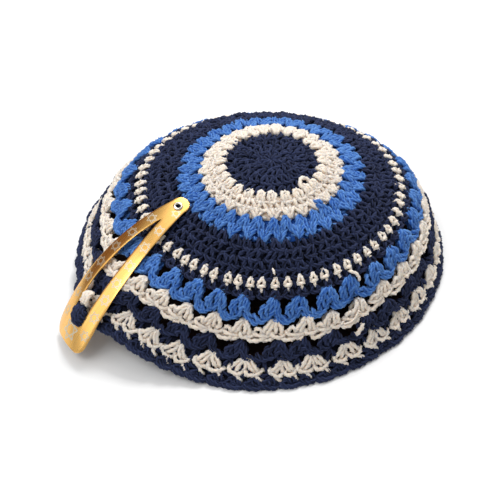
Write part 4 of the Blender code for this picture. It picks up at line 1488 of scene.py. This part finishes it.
def build_studio(dome: Dome) -> None:
    """The pale floor, a dark sheet of painted shade under the cap, the soft lights and the camera.

    Args:
        dome: the cap's surface, whose edge the dark sheet of painted shade stays inside.
    """
    floor = add_stage("floor", flat_corners(FLOOR_HALF, FLOOR_HALF), "white_sweep", "#f9f9f9", 0.9)
    # A white sweep under its own lights: a little light of its own keeps it white to the picture's edge
    shader = floor.data.materials[0].node_tree.nodes["Principled BSDF"]
    shader.inputs["Emission Color"].default_value = linear("#ffffff")
    shader.inputs["Emission Strength"].default_value = 0.03
    # A dark sheet of painted shade under the cap: it shows through the gaps as the cap's shaded inside
    azimuth = np.linspace(-math.pi, math.pi, SHADE_SHEET_POINTS, endpoint=False)
    ring = dome.place(azimuth, np.full(SHADE_SHEET_POINTS, SHADE_SHEET_SHARE), np.full(SHADE_SHEET_POINTS, -SHADE_SHEET_IN))
    ring[:, 2] = SHADE_SHEET_UP
    add_stage("dark_shade_sheet_under_cap", ring, "painted_shade_sheet", "#2b1511", 1.0)
    world = bpy.data.worlds.new("studio")
    bpy.context.scene.world = world
    world.use_nodes = True
    background = world.node_tree.nodes["Background"]
    background.inputs["Color"].default_value = (1, 1, 1, 1)
    background.inputs["Strength"].default_value = WORLD_STRENGTH
    for name, place, width, height, power in LIGHTS:
        light = bpy.data.lights.new(name, "AREA")
        light.shape = "RECTANGLE"
        light.size, light.size_y, light.energy = width, height, power
        aim(link_object(name, light), place)
    # Only mirrored light sees this card: it keeps the clip's far leg dark
    card = add_stage("brown_card", flat_corners(*CARD_HALF), "brown_card", "#734a2a", 1.0)
    aim(card, CARD_PLACE)
    card.visible_camera = card.visible_diffuse = card.visible_shadow = False
    lens = bpy.data.cameras.new("camera")
    lens.sensor_width = SENSOR
    lens.lens = FOCAL_PIXELS / PHOTO_PIXELS * SENSOR
    camera = link_object("camera", lens)
    camera.location = CAMERA_PLACE
    camera.rotation_euler = (math.radians(90 - CAMERA_DOWN), 0, 0)
    bpy.context.scene.camera = camera
    bpy.context.scene.view_settings.view_transform = "Standard"


def main() -> None:
    """Dresses the frame."""
    logging.basicConfig(level=logging.INFO, format="%(name)s: %(message)s")
    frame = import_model()
    low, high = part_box("centre_rounds")
    dome = Dome((low + high) / 2)
    finishes = [yarn.build() for yarn in (NAVY_COTTON, CREAM_COTTON, BLUE_COTTON)]
    total = 0
    for band in BANDS:
        piece = band.build(dome, finishes)
        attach(piece, "cap")
        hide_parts(band.node)
        total += 2 * len(piece.data.polygons)
        LOG.info("%s: %d triangles", piece.name, 2 * len(piece.data.polygons))
    LOG.info("yarn in all: %d triangles", total)
    clip = Clip((low + high) / 2)
    ends = YarnMesh(seed=200)
    for tail in TAILS:
        tail.work(ends, dome)
    clip.add_bulge(ends)
    piece = ends.build("yarn_ends", finishes)
    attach(piece, "cap")
    gold = GOLD_PLATE.build()
    for piece, node, slot in (
        (clip.build_frame(gold), "clip_frame", "gold_sheet"),
        (clip.build_print(SILVER_PRINT.build()), None, "gold_sheet"),
        (clip.build_eyelet(NICKEL.build()), "clip_eyelet", "brass_eyelet"),
    ):
        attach(piece, "cap")
        if node:
            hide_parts(node)
        LOG.info("%s: %d faces", piece.name, len(piece.data.polygons))
    tongue = frame["nodes"]["clip_tongue"]
    tongue.data.materials.clear()
    tongue.data.materials.append(STEEL_TONGUE.build())
    build_studio(dome)


if __name__ == "__main__":
    main()
